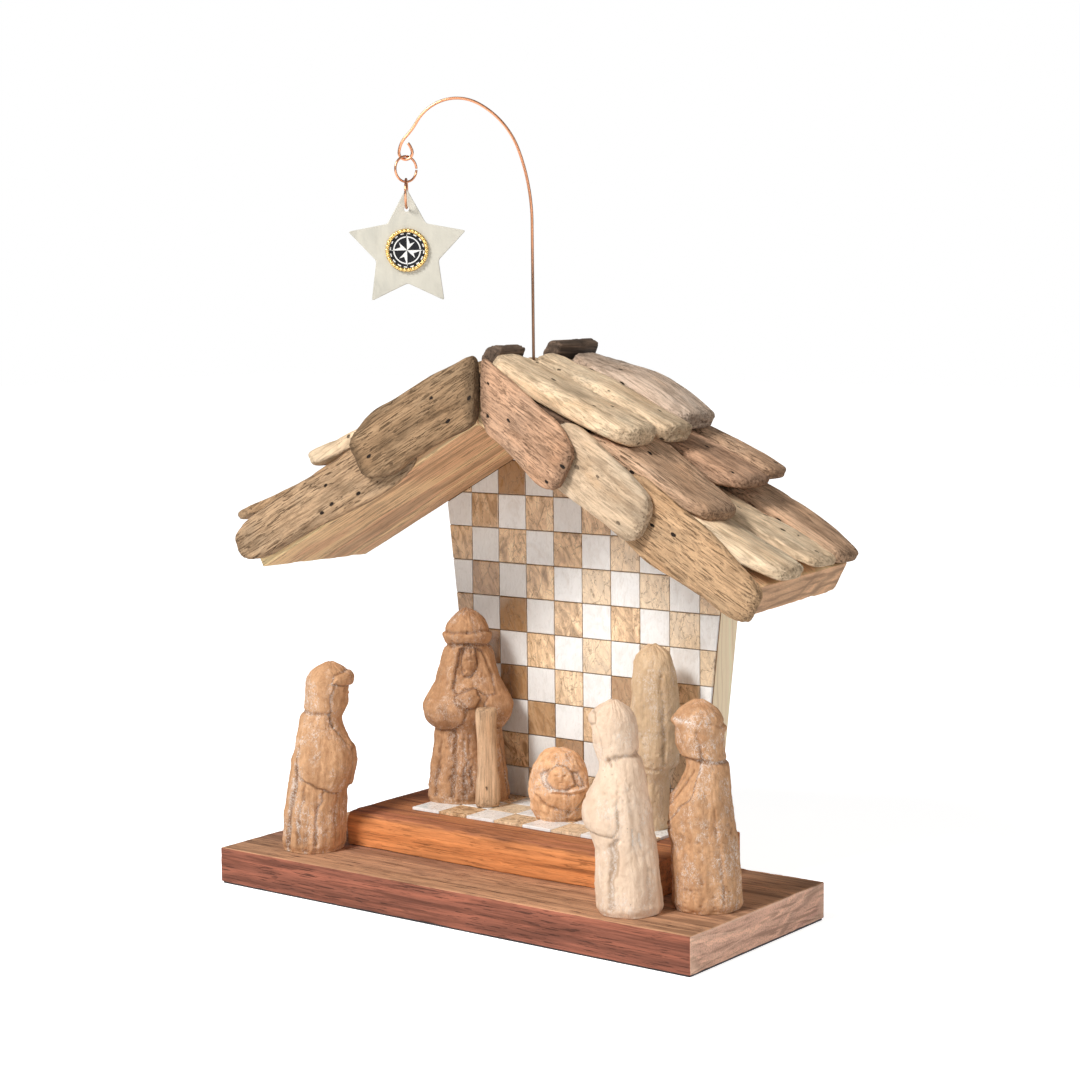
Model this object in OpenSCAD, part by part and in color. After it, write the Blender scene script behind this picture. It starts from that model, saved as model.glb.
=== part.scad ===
// Driftwood nativity stable with a shell-tile wall, carved figures and a hanging star.
// Millimetres. X runs right along the base, Y runs back, Z is up from the table.
// The origin is under the middle of the base plank. Driftwood, carved figures and
// the staff are lofts of named shares, so they scale with the lengths beside them.

/* [Base and step] */
// Length of base left free at each end of the step
ledge_w = 54.5; // [46:0.1:70]
// Depth of the base plank, front to back
base_d = 130; // [115:1:180]
// Thickness of the base plank
base_t = 20; // [14:0.5:28]
// Thickness of the felt glued under the base
felt_t = 1; // [0.5:0.1:2]
// Distance of the felt's edge inside the plank's edge
felt_in = 1; // [0.5:0.5:8]
// Length of the step plank
step_w = 215; // [190:0.5:250]
// Depth of the step plank, from the back board forward
step_d = 83.5; // [70:0.5:95]
// Thickness of the step plank
step_t = 20; // [14:0.5:28]
// Shift of the wall and roof to the right of the base's middle
stable_shift = 3.6; // [0:0.1:8]
// Shift of the step to the right of the base's middle
step_shift = 1.3; // [0:0.1:8]

/* [Back board] */
// Thickness of the pine back board
board_t = 18; // [12:0.5:25]
// Width of the back board at its foot
board_foot_w = 150; // [120:1:190]
// Width of the back board where its sides meet the roof
board_eave_w = 202; // [150:1:230]
// Shank diameter of the wood screws
screw_d = 3.5; // [2.5:0.1:5]
// Length of the wood screws
screw_l = 38; // [28:1:50]

/* [Shell tiles] */
// Distance from tile to tile
tile_pitch = 20; // [15:0.5:25]
// Joint between two tiles
tile_gap = 0.5; // [0.2:0.1:1.5]
// Thickness of a tile
tile_t = 1.6; // [1:0.1:3]

/* [Roof boards] */
// Height of the ridge line under the roof boards
ridge_h = 267.1; // [230:1:320]
// Slope of both roof boards, in degrees
roof_pitch = 28.4; // [22:0.2:35]
// Length of a roof board down its slope, measured underneath
roof_len = 187; // [160:1:220]
// Depth of the roof boards, from the back board forward
roof_d = 94.5; // [80:0.5:110]
// Thickness of the roof boards
roof_t = 17.5; // [12:0.5:24]

/* [Driftwood] */
// Depth of roof that the driftwood rows cover
cover_d = 112; // [100:1:125]
// Gap from the front driftwood to the first roof row
cover_gap = 1; // [0.5:0.1:2]
// Roundness of the driftwood's long edges
drift_r = 2.4; // [1:0.1:4]
// Rise of the ridge chips above the gap they fill
chip_rise = 5; // [2:0.5:10]

/* [Star hanger] */
// Diameter of the copper wire
wire_d = 1.6; // [1.2:0.1:2.4]
// Height of the wire's straight stem above its seat in the ridge
stem_h = 105.5; // [80:0.5:130]
// Size of the wire's bow: the radius of its tightest curve
bow_r = 25.7; // [20:0.1:32]
// Radius of the eye at the wire's end
eye_r = 3.7; // [3.4:0.1:4.5]
// Turn of the bow away from the front, in degrees
bow_turn = 30; // [0:1:60]
// Diameter of the ring's and the link's wire
ring_wire_d = 1.3; // [1:0.1:1.6]
// Outer radius of the ring on the wire's eye
ring_r = 7.6; // [6.8:0.1:9]
// Outer radius of the link that carries the star
link_r = 8.6; // [7.8:0.1:10]
// Free play where one loop hangs in the next
loop_play = 0.3; // [0.2:0.05:0.4]
// Radius of the star, middle to tip
star_r = 34; // [28:0.5:42]
// Thickness of the star
star_t = 2.2; // [1.6:0.1:3]
// Outer radius of the gold rim on the star
rim_r = 11.8; // [9:0.1:14]

/* [Carved figures] */
// Height of the three wise figures
wise_h = 108; // [90:1:125]
// Height of the standing father
joseph_h = 113; // [95:1:130]
// Height of the standing mother
mary_h = 102; // [85:1:118]
// Height of the wrapped child
child_h = 40; // [32:1:48]
// Height of the father's staff
staff_h = 58; // [45:1:75]

/* [Hidden] */
$fn = 48;

// Levels and planes
base_w = step_w + 2 * ledge_w;
base_top = felt_t + base_t;
step_top = base_top + step_t;
floor_z = step_top + tile_t;
board_y = base_d / 2;
wall_y = board_y - tile_t;
roof_y0 = board_y - roof_d;
tanp = tan(roof_pitch);
cosp = cos(roof_pitch);
sinp = sin(roof_pitch);
ridge_top = ridge_h + roof_t / cosp;
eave_z = ridge_top - board_eave_w / 2 * tanp;
taper = (board_eave_w - board_foot_w) / 2 / (eave_z - felt_t);
over = base_d;

// A point of the slope frame (along the slope, square to it) in X and Z
function sp(side, u, w) = [stable_shift + side * (u * cosp + w * sinp), ridge_h - u * sinp + w * cosp];

module on_slope(side) {
    translate([stable_shift, 0, ridge_h])
        if (side < 0) mirror([1, 0, 0]) rotate([0, roof_pitch, 0]) children();
        else rotate([0, roof_pitch, 0]) children();
}

// A flat shape drawn in X and Z, standing from y0 to y1
module upright(y0, y1) {
    translate([0, y1, 0]) rotate([90, 0, 0]) linear_extrude(height = y1 - y0) children();
}

// A closed loft through m rings of n points each
module loft(pts, n, m) {
    polyhedron(points = pts, convexity = 6, faces = concat(
        [[for (i = [0:n - 1]) i]],
        [for (k = [0:m - 2]) for (i = [0:n - 1])
            [k * n + i, (k + 1) * n + i, (k + 1) * n + (i + 1) % n]],
        [for (k = [0:m - 2]) for (i = [0:n - 1])
            [k * n + i, (k + 1) * n + (i + 1) % n, k * n + (i + 1) % n]],
        [[for (i = [n - 1:-1:0]) (m - 1) * n + i]]));
}

// Screws
screw_r = screw_d / 2;
head_r = screw_d;
screw_base_share = 0.19;
screw_step_share = 0.2;
screw_roof_share = [0.185, 0.481];
screw_spots = concat(
    [for (s = [-1, 1]) [stable_shift + s * screw_base_share * base_w, felt_t + base_t / 2]],
    [for (s = [-1, 1]) [stable_shift + s * screw_step_share * step_w, base_top + step_t / 2]],
    [for (s = [-1, 1]) for (f = screw_roof_share) sp(s, f * board_eave_w, roof_t / 2)]);

module screw_body(p) {
    translate([p[0], board_y + board_t, p[1]]) rotate([90, 0, 0]) {
        cylinder(r = screw_r, h = screw_l);
        cylinder(r1 = head_r, r2 = screw_r, h = head_r - screw_r);
    }
}
module screw_cuts() { for (p = screw_spots) screw_body(p); }

module board_screws() {
    color("goldenrod")
    difference() {
        for (p = screw_spots) screw_body(p);
        for (p = screw_spots)
            translate([p[0], board_y + board_t, p[1]]) {
                cube([head_r, screw_r, screw_r / 2], center = true);
                cube([screw_r / 2, screw_r, head_r], center = true);
            }
    }
}

// Base, step and back board
module base_plank() {
    color("rosybrown")
    difference() {
        translate([-base_w / 2, -base_d / 2, felt_t]) cube([base_w, base_d, base_t]);
        screw_cuts();
    }
}

module base_felt() {
    color("black")
    translate([-base_w / 2 + felt_in, -base_d / 2 + felt_in, 0])
        cube([base_w - 2 * felt_in, base_d - 2 * felt_in, felt_t]);
}

// The step's front edge keeps its rounded bark side
module step_plank() {
    r = step_t * 0.22;
    y0 = board_y - step_d;
    color("peru")
    difference() {
        translate([step_shift - step_w / 2, 0, 0]) rotate([90, 0, 90])
            linear_extrude(height = step_w) union() {
                polygon([[board_y, base_top], [board_y, step_top], [y0 + 2 * r, step_top],
                    [y0 + r * 0.75, step_top - r * 0.18], [y0 + r * 0.2, step_top - r * 0.8],
                    [y0, step_top - 2 * r], [y0 + r * 0.15, base_top + r * 1.2], [y0 + r * 0.1, base_top]]);
            }
        screw_cuts();
    }
}

function half_w(z) = board_foot_w / 2 + (z - felt_t) * taper;

module back_board() {
    color("wheat")
    difference() {
        upright(board_y, board_y + board_t)
            polygon([[stable_shift - board_foot_w / 2, felt_t], [stable_shift + board_foot_w / 2, felt_t],
                [stable_shift + board_eave_w / 2, eave_z], [stable_shift, ridge_top],
                [stable_shift - board_eave_w / 2, eave_z]]);
        screw_cuts();
    }
}

// Shell tiles: even squares are amber on the wall and pearl on the floor
tile_side = tile_pitch - tile_gap;
wall_row_share = 0.05;
wall_z0 = step_top - wall_row_share * tile_pitch;
tile_d = (board_foot_w / 2 + (ridge_h - felt_t) * taper) / (1 + tanp * taper) - tile_gap;

module wall_tiles(even) {
    intersection() {
        union() {
            for (i = [-6:5]) for (m = [0:12])
                if ((i + m + 20) % 2 == even)
                    translate([stable_shift + i * tile_pitch + tile_gap / 2, wall_y,
                        wall_z0 + m * tile_pitch + tile_gap / 2])
                        cube([tile_side, tile_t, tile_side]);
        }
        upright(wall_y - tile_t, board_y + tile_t)
            polygon([[stable_shift - half_w(floor_z) + tile_gap, floor_z],
                [stable_shift + half_w(floor_z) - tile_gap, floor_z],
                [stable_shift + tile_d, ridge_h - tile_gap - tile_d * tanp],
                [stable_shift, ridge_h - tile_gap],
                [stable_shift - tile_d, ridge_h - tile_gap - tile_d * tanp]]);
    }
}
module floor_tiles(even) {
    for (i = [-4:3]) for (n = [0:2])
        if ((i + n + 20) % 2 == even)
            translate([stable_shift + i * tile_pitch + tile_gap / 2,
                board_y - (n + 1) * tile_pitch + tile_gap / 2, step_top])
                cube([tile_side, tile_side, tile_t]);
}
module wall_tiles_pearl() { color("gainsboro") wall_tiles(1); }
module wall_tiles_amber() { color("burlywood") wall_tiles(0); }
module floor_tiles_pearl() { color("gainsboro") floor_tiles(0); }
module floor_tiles_amber() { color("burlywood") floor_tiles(1); }

// Roof boards, mitred at the ridge and bored for the wire
wire_r = wire_d / 2;
wire_y_share = 0.53;
wire_y = roof_y0 + wire_y_share * roof_d;
wire_z0 = ridge_h + roof_t * 0.1;

module wire_bore() {
    translate([stable_shift, wire_y, wire_z0]) cylinder(r = wire_r, h = over);
}

// Each board's end is cut at an angle: its length at the front and at the back
roof_end_left_share = [0.976, 1.004];
roof_end_right_share = [1.024, 0.995];
module roof_board(side) {
    ends = side < 0 ? roof_end_left_share : roof_end_right_share;
    u1 = max(ends) * roof_len;
    color("sienna")
    difference() {
        on_slope(side) upright(roof_y0, board_y)
            polygon([[0, 0], [u1, 0], [u1, roof_t], [-roof_t * tanp, roof_t]]);
        on_slope(side) translate([0, 0, -1]) linear_extrude(height = roof_t + 2)
            polygon([[ends[0] * roof_len, roof_y0], [ends[0] * roof_len, roof_y0 - 1], [u1 + 9, roof_y0 - 1],
                [u1 + 9, board_y + 1], [ends[1] * roof_len, board_y + 1], [ends[1] * roof_len, board_y]]);
        screw_cuts();
        wire_bore();
    }
}
module roof_board_left() { roof_board(-1); }
module roof_board_right() { roof_board(1); }

// Heights of the driftwood rows above the roof board: start share and slope,
// for the top of the low row, the middle row and the top row on each side
lap_right_share = [[-0.0075, 0.07], [0.04, 0.113], [0.104, 0.11]];
lap_left_share = [[0.01, 0.107], [0.045, 0.16], [0.096, 0.14]];
function lap(side) = side < 0 ? lap_left_share : lap_right_share;
function row_top(side, row, u) = roof_t + lap(side)[row][0] * roof_len + lap(side)[row][1] * u;
function row_foot(side, row, u) = row == 0 ? roof_t : row_top(side, row - 1, u);

// Where a row's foot plane meets the upright plane through the ridge
function ridge_u(side) = -(roof_t + lap(side)[1][0] * roof_len) * tanp / (1 + lap(side)[1][1] * tanp);

strip_share = 0.29;
cover_y0 = roof_y0 + cover_gap;
module ridge_strip(side) {
    u1 = strip_share * roof_len;
    ur = ridge_u(side);
    color("saddlebrown")
    difference() {
        on_slope(side) upright(cover_y0, board_y)
            polygon([[-roof_t * tanp, roof_t], [u1, roof_t], [u1, row_foot(side, 2, u1)],
                [ur, row_foot(side, 2, ur)]]);
        wire_bore();
    }
}
module ridge_strip_left() { ridge_strip(-1); }
module ridge_strip_right() { ridge_strip(1); }

// Edge levels of a driftwood piece: share of its thickness, and how far it draws in
drift_ring_share = [[0, 0.55], [0.3, 0], [0.7, 0.25], [1, 1]];
drift_n = 20;
function spow(v, e) = sign(v) * pow(abs(v), e);

// One outline point: u0 to u1 long, edges a and b, drawn in by e, ends sheared by sh.
// The upper end is cut square where cut is small, and the lower one where last is.
function drift_uv(u0, u1, a, b, e, p, seed, sh, cut, last = 0.5) =
    let (k = cos(p) < 0 ? cut : last,
        x = spow(cos(p), k), s = spow(sin(p), k + 0.05),
        u = (u0 + u1) / 2 + ((u1 - u0) / 2 - e) * x,
        f = (u - u0) / (u1 - u0),
        lo = a[0] + (a[1] - a[0]) * f, hi = b[0] + (b[1] - b[0]) * f,
        v = (lo + hi) / 2 + ((hi - lo) / 2 - e) * s
            + drift_r * 0.3 * sin(f * 380 + seed * 67) * (1 - 0.6 * abs(s)))
    [u + sh * (v - (lo + hi) / 2) * (1 - f), v];

// A roof row's piece: share of roof_len along the slope, share of cover_d from the front.
// Past a share of its length its top sinks and its foot rises, by shares of roof_t, and
// its top swells in the middle.
function past(u0, u1, from, u) = max(0, ((u - u0) / (u1 - u0) - from) / (1 - from));
module row_piece(side, row, u01, a01, b01, tip, seed) {
    u0 = u01[0] * roof_len;
    u1 = u01[1] * roof_len;
    a = [for (k = a01) cover_y0 + k * cover_d];
    b = [for (k = b01) cover_y0 + k * cover_d];
    pts = [for (r = drift_ring_share) for (i = [0:drift_n - 1])
        let (q = drift_uv(u0, u1, a, b, r[1] * drift_r, 360 * i / drift_n, seed, 0, 0.5),
            m = past(u0, u1, tip[2], q[0]) * roof_t, x = (2 * q[0] - u0 - u1) / (u1 - u0),
            lo = row_foot(side, row, q[0]) + tip[1] * m,
            hi = row_top(side, row, q[0]) - tip[0] * m + tip[3] * roof_t * (1 - x * x))
        [q[0], q[1], lo + (hi - lo) * r[0]]];
    on_slope(side) loft(pts, drift_n, len(drift_ring_share));
}

// Each row, low to top: [start, end], [front edge], [back edge], [sink, rise, from, swell]
low_right_share = [[[0.556, 1.055], [0, 0], [0.345, 0.3], [0, 0.28, 0.5, 0]],
    [[0.55, 1.045], [0.36, 0.315], [0.63, 0.6], [0, 0.45, 0.5, 0]],
    [[0.54, 1.018], [0.645, 0.615], [1.0, 0.9], [0.14, 0.16, 0.5, 0.08]]];
mid_right_share = [[[0.305, 0.79], [0, 0], [0.485, 0.33], [0.42, 0, 0.32, 0]],
    [[0.305, 0.71], [0.5, 0.45], [0.84, 0.76], [0.06, 0.45, 0.72, 0]],
    [[0.305, 0.672], [0.855, 0.775], [1.02, 1.0], [0.06, 0.4, 0.74, 0]]];
top_right_share = [[[-0.07, 0.47], [0, 0], [0.33, 0.3], [0, 0, 0.5, 0]],
    [[-0.07, 0.468], [0.345, 0.315], [0.6, 0.625], [0, 0, 0.5, 0]],
    [[-0.065, 0.4], [0.615, 0.64], [0.93, 0.98], [0.1, 0, 0.5, 0.17]]];
low_left_share = [[[0.55, 1.05], [0, 0], [0.36, 0.4], [0, 1, 0.3, 0]],
    [[0.556, 1.03], [0.375, 0.415], [0.66, 0.62], [0, 0.9, 0.3, 0]],
    [[0.54, 1.05], [0.675, 0.635], [1.0, 0.96], [0, 0.95, 0.3, 0]]];
mid_left_share = [[[0.305, 0.68], [0, 0], [0.3, 0.34], [0, 0.2, 0.8, 0]],
    [[0.305, 0.7], [0.315, 0.355], [0.7, 0.66], [0.1, 0.22, 0.76, 0]],
    [[0.305, 0.68], [0.715, 0.675], [1.02, 0.98], [0.1, 0.2, 0.8, 0]]];
top_left_share = [[[-0.045, 0.415], [0, 0], [0.38, 0.36], [0.25, 0, 0.5, 0]],
    [[-0.045, 0.42], [0.395, 0.375], [0.68, 0.71], [0.2, 0, 0.5, 0]],
    [[-0.04, 0.42], [0.695, 0.725], [0.98, 0.95], [0.2, 0, 0.5, 0]]];

module drift(side, row, list, k) { row_piece(side, row, list[k][0], list[k][1], list[k][2], list[k][3], k + 3 * row + side); }

module drift_right_low_1() { color("tan") drift(1, 0, low_right_share, 0); }
module drift_right_low_2() { color("khaki") drift(1, 0, low_right_share, 1); }
module drift_right_low_3() { color("rosybrown") drift(1, 0, low_right_share, 2); }
module drift_right_mid_1() { color("rosybrown") drift(1, 1, mid_right_share, 0); }
module drift_right_mid_2() { color("tan") drift(1, 1, mid_right_share, 1); }
module drift_right_mid_3() { color("rosybrown") drift(1, 1, mid_right_share, 2); }
module drift_right_top_1() { color("khaki") drift(1, 2, top_right_share, 0); }
module drift_right_top_2() { color("khaki") drift(1, 2, top_right_share, 1); }
module drift_right_top_3() { color("tan") drift(1, 2, top_right_share, 2); }
module drift_left_low_1() { color("tan") drift(-1, 0, low_left_share, 0); }
module drift_left_low_2() { color("rosybrown") drift(-1, 0, low_left_share, 1); }
module drift_left_low_3() { color("khaki") drift(-1, 0, low_left_share, 2); }
module drift_left_mid_1() { color("khaki") drift(-1, 1, mid_left_share, 0); }
module drift_left_mid_2() { color("tan") drift(-1, 1, mid_left_share, 1); }
module drift_left_mid_3() { color("rosybrown") drift(-1, 1, mid_left_share, 2); }
module drift_left_top_1() { color("tan") drift(-1, 2, top_left_share, 0); }
module drift_left_top_2() { color("khaki") drift(-1, 2, top_left_share, 1); }
module drift_left_top_3() { color("tan") drift(-1, 2, top_left_share, 2); }

// Front driftwood laps like clapboard: depth planes as [start share, slope]
gable_plane_share = [[0, 0], [0.251, 0.06], [-0.027, 0.09], [0.02, 0.105]];
gable_left_plane_share = [[0, 0], [-0.128, 0.05], [0.17, 0.075]];
function depth_at(pl, u, first) = pl[0] == 0 && pl[1] == 0 ? 0 : pl[1] * (u - pl[0] * roof_len) + first;

// A front piece: edges a and b are shares of roof_t square to the slope
module gable_piece(side, u01, a01, b01, back, front, extra, sh, cut, seed, last = 0.5) {
    u0 = u01[0] * roof_len;
    u1 = u01[1] * roof_len;
    a = [for (k = a01) k * roof_t];
    b = [for (k = b01) k * roof_t];
    pts = [for (r = drift_ring_share) for (i = [0:drift_n - 1])
        let (q = drift_uv(u0, u1, a, b, r[1] * drift_r, 360 * i / drift_n, seed, sh, cut, last),
            lo = depth_at(back, q[0], 0), hi = depth_at(front, q[0], extra))
        [q[0], roof_y0 - lo - (hi - lo) * r[0], q[1]]];
    on_slope(side) loft(pts, drift_n, len(drift_ring_share));
}

module gable_drift_right_lower() {
    color("tan") gable_piece(1, [0.52, 1.05], [-0.27, -0.18], [1.98, 1.15],
        gable_plane_share[0], gable_plane_share[1], 0, 0, 0.5, 2, 0.36);
}
module gable_drift_right_middle() {
    color("wheat") gable_piece(1, [0.251, 0.66], [-0.1, -0.15], [1.95, 1.6],
        gable_plane_share[1], gable_plane_share[2], 0, 0, 0.5, 5);
}
module gable_drift_right_upper() {
    color("rosybrown") gable_piece(1, [-0.02, 0.37], [0.05, -0.28], [2.05, 1.65],
        gable_plane_share[2], gable_plane_share[3], drift_r * 2.2, -tanp, 0.2, 4);
}
module gable_drift_left_lower() {
    color("tan") gable_piece(-1, [0.235, 1.006], [-0.32, 0.1], [1.6, 1.62],
        gable_left_plane_share[0], gable_left_plane_share[1], 0, 0, 0.5, 6);
}
module gable_drift_left_upper() {
    color("saddlebrown") gable_piece(-1, [-0.065, 0.425], [-0.1, 0.05], [1.9, 2.1],
        gable_left_plane_share[1], gable_left_plane_share[1], drift_r * 3, -tanp, 0.2, 1);
}

// Ridge chips of bark fill the gap between the two top rows
module ridge_chip(y0, y1, rise) {
    ul = -0.045 * roof_len;
    ur = -0.07 * roof_len;
    pl = sp(-1, ul, row_top(-1, 2, ul));
    pr = sp(1, ur, row_top(1, 2, ur));
    color("dimgray")
    upright(y0, y1)
        polygon([sp(-1, ul, row_foot(-1, 2, ul)),
            sp(-1, ridge_u(-1), row_foot(-1, 2, ridge_u(-1))),
            sp(1, ur, max(row_foot(1, 2, ur), -ur / tanp)), pr,
            [pr[0], pr[1] + rise * 0.45], (pl + 2 * pr) / 3 + [0, rise],
            (2 * pl + pr) / 3 + [0, rise], [pl[0], pl[1] + rise * 0.2], pl]);
}
chip_front_share = [0.14, 0.38];
chip_back_share = [0.72, 1.1];
module ridge_chip_front() {
    ridge_chip(cover_y0 + chip_front_share[0] * roof_d, cover_y0 + chip_front_share[1] * roof_d, chip_rise);
}
module ridge_chip_back() {
    ridge_chip(cover_y0 + chip_back_share[0] * roof_d, cover_y0 + chip_back_share[1] * roof_d, chip_rise * 1.5);
}

// The wire's bow and eye: [turn to the left in degrees, radius as a share of bow_r or eye_r]
bow_share = [[20, 4.48], [41, 1.85], [88, 1], [-14, 1.55], [38, 0.55]];
eye_share = [[205, 1], [20, 3.5]];
knuckle_r = wire_r * 1.03;

module bend(turn, r) {
    if (turn > 0)
        translate([-r, 0, 0]) rotate([90, 0, 0])
            rotate_extrude(angle = turn) translate([r, 0]) circle(r = wire_r);
    else
        mirror([1, 0, 0]) translate([-r, 0, 0]) rotate([90, 0, 0])
            rotate_extrude(angle = -turn) translate([r, 0]) circle(r = wire_r);
}
module past_bend(turn, r) {
    translate([-sign(turn) * r * (1 - cos(turn)), 0, r * sin(abs(turn))]) rotate([0, -turn, 0]) children();
}
module bends(list, size, k) {
    sphere(r = knuckle_r);
    if (k < len(list)) {
        bend(list[k][0], list[k][1] * size);
        past_bend(list[k][0], list[k][1] * size) bends(list, size, k + 1) children();
    } else children();
}
module star_wire() {
    color("chocolate")
    translate([stable_shift, wire_y, wire_z0]) rotate([0, 0, bow_turn]) {
        cylinder(r = wire_r, h = stem_h);
        translate([0, 0, stem_h]) bends(bow_share, bow_r, 0) bends(eye_share, eye_r, 0);
    }
}

// The same bow as numbers, to find the bottom of the eye
function bow_at(k, x, z, h) = k == len(bow_share) ? [x, z, h]
    : let (t = bow_share[k][0], r = bow_share[k][1] * bow_r, s = sign(t))
        bow_at(k + 1, x - s * r * (cos(h) - cos(h + t)), z + s * r * (sin(h + t) - sin(h)), h + t);
bow_tip = bow_at(0, 0, stem_h, 0);
eye_c = [bow_tip[0] - eye_r * cos(bow_tip[2]), bow_tip[1] - eye_r * sin(bow_tip[2])];
hook = [stable_shift + eye_c[0] * cos(bow_turn), wire_y + eye_c[0] * sin(bow_turn), wire_z0 + eye_c[1] - eye_r];

// Ring, link and star hang one in the other
ring_w = ring_wire_d / 2;
ring_m = ring_r - ring_w;
link_m = link_r - ring_w;
ring_z = hook[2] + wire_r + ring_w + loop_play - ring_m;
link_z = ring_z - ring_m + 2 * ring_w + loop_play - link_m;
hole_z = link_z - link_m;
hole_r = ring_w + 2.6 * loop_play;
hole_share = 0.66;
star_z = hole_z + ring_w + loop_play - hole_r - hole_share * star_r;
face_turn = 37;
ring_turn = 75;
link_turn = 127;
notch_share = 0.53;

module loop_at(z, turn, m) {
    translate([hook[0], hook[1], z]) rotate([0, 0, turn]) rotate([90, 0, 0])
        rotate_extrude() translate([m, 0]) circle(r = ring_w);
}
module wire_ring() { color("chocolate") loop_at(ring_z, ring_turn, ring_m); }
module star_link() { color("chocolate") loop_at(link_z, link_turn, link_m); }

// The star's frame: x across its face, z up, y behind it
module star_frame() { translate([hook[0], hook[1], star_z]) rotate([0, 0, face_turn]) children(); }

module star() {
    color("ivory")
    star_frame() difference() {
        upright(-star_t / 2, star_t / 2)
            polygon([for (k = [0:9]) let (r = k % 2 == 0 ? star_r : star_r * notch_share)
                [r * sin(36 * k), r * cos(36 * k)]]);
        translate([0, 0, hole_share * star_r]) rotate([90, 0, 0])
            cylinder(r = hole_r, h = 2 * star_t, center = true);
    }
}

rim_t_share = 0.17;
rim_h = star_t * 0.8;
module star_rim() {
    rt = rim_t_share * rim_r;
    color("gold")
    star_frame() translate([0, -star_t / 2, 0]) rotate([90, 0, 0])
        rotate_extrude() polygon([[rim_r - rt, 0], [rim_r, 0], [rim_r, rim_h * 0.5],
            [rim_r - rt * 0.3, rim_h], [rim_r - rt * 0.75, rim_h], [rim_r - rt, rim_h * 0.6]]);
}
module star_medallion() {
    r = rim_r * (1 - rim_t_share);
    color("whitesmoke")
    star_frame() translate([0, -star_t / 2, 0]) rotate([90, 0, 0]) cylinder(r = r, h = rim_h * 0.55);
}

// Carved figures. Each table gives half sizes as shares of the height, by height:
// to the sides, to the front and to the back. x is the front of the figure.
fig_n = 24;
fig_level_share = [0, 0.012, 0.04, 0.12, 0.21, 0.3, 0.35, 0.4, 0.45, 0.5, 0.55, 0.6, 0.65, 0.69,
    0.72, 0.75, 0.785, 0.815, 0.845, 0.875, 0.905, 0.93, 0.95, 0.968, 0.985, 1];
robe_side_share = [[0, 0.155], [0.03, 0.17], [0.3, 0.166], [0.45, 0.172], [0.55, 0.165], [0.65, 0.136],
    [0.72, 0.114], [0.76, 0.12], [0.85, 0.125], [0.91, 0.126], [0.945, 0.108], [0.968, 0.085],
    [0.985, 0.058], [1, 0.016]];
robe_front_share = [[0, 0.155], [0.03, 0.168], [0.2, 0.165], [0.31, 0.158], [0.37, 0.178], [0.45, 0.195],
    [0.52, 0.19], [0.6, 0.14], [0.66, 0.1], [0.7, 0.09], [0.75, 0.098], [0.8, 0.108], [0.86, 0.11],
    [0.9, 0.12], [0.93, 0.114], [0.968, 0.082], [0.985, 0.055], [1, 0.016]];
robe_back_share = [[0, 0.155], [0.03, 0.17], [0.2, 0.165], [0.35, 0.152], [0.55, 0.133], [0.7, 0.134],
    [0.75, 0.12], [0.85, 0.122], [0.91, 0.117], [0.95, 0.098], [0.985, 0.055], [1, 0.016]];
robe_lean_share = [[0, 0], [0.3, 0.02], [0.5, 0.032], [0.6, 0.05], [0.75, 0.08], [1, 0.098]];
cloak_side_share = [[0, 0.205], [0.03, 0.216], [0.12, 0.21], [0.3, 0.182], [0.385, 0.172], [0.44, 0.2],
    [0.5, 0.212], [0.56, 0.2], [0.65, 0.165], [0.75, 0.137], [0.81, 0.114], [0.835, 0.12], [0.865, 0.13],
    [0.9, 0.11], [0.93, 0.098], [0.95, 0.084], [0.985, 0.045], [1, 0.012]];
cloak_front_share = [[0, 0.145], [0.03, 0.155], [0.3, 0.14], [0.39, 0.145], [0.45, 0.18], [0.52, 0.18],
    [0.6, 0.15], [0.7, 0.125], [0.8, 0.11], [0.84, 0.12], [0.87, 0.13], [0.9, 0.112], [0.95, 0.082],
    [0.985, 0.045], [1, 0.012]];
cloak_back_share = [[0, 0.14], [0.03, 0.15], [0.4, 0.14], [0.6, 0.13], [0.8, 0.11], [0.865, 0.125],
    [0.9, 0.108], [0.95, 0.08], [0.985, 0.045], [1, 0.012]];
veil_side_share = [[0, 0.11], [0.03, 0.12], [0.25, 0.112], [0.33, 0.125], [0.4, 0.138], [0.6, 0.14],
    [0.75, 0.128], [0.87, 0.11], [0.93, 0.095], [0.968, 0.075], [0.985, 0.056], [1, 0.02]];
veil_front_share = [[0, 0.11], [0.03, 0.12], [0.3, 0.115], [0.45, 0.14], [0.55, 0.14], [0.65, 0.11],
    [0.72, 0.1], [0.8, 0.108], [0.9, 0.105], [0.95, 0.085], [0.985, 0.052], [1, 0.02]];
veil_back_share = [[0, 0.11], [0.03, 0.12], [0.22, 0.11], [0.28, 0.118], [0.36, 0.165], [0.5, 0.165],
    [0.7, 0.155], [0.85, 0.13], [0.93, 0.105], [0.968, 0.08], [0.985, 0.056], [1, 0.02]];
veil_lean_share = [[0, 0], [0.3, -0.005], [1, -0.035]];
wrap_side_share = [[0, 0.31], [0.04, 0.35], [0.15, 0.4], [0.4, 0.435], [0.6, 0.42], [0.75, 0.375],
    [0.875, 0.3], [0.95, 0.22], [0.985, 0.13], [1, 0.06]];
wrap_front_share = [[0, 0.29], [0.04, 0.33], [0.15, 0.38], [0.4, 0.41], [0.6, 0.38], [0.8, 0.31],
    [0.9, 0.23], [0.95, 0.18], [0.985, 0.11], [1, 0.06]];
upright_lean_share = [[0, 0], [1, 0.02]];

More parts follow.
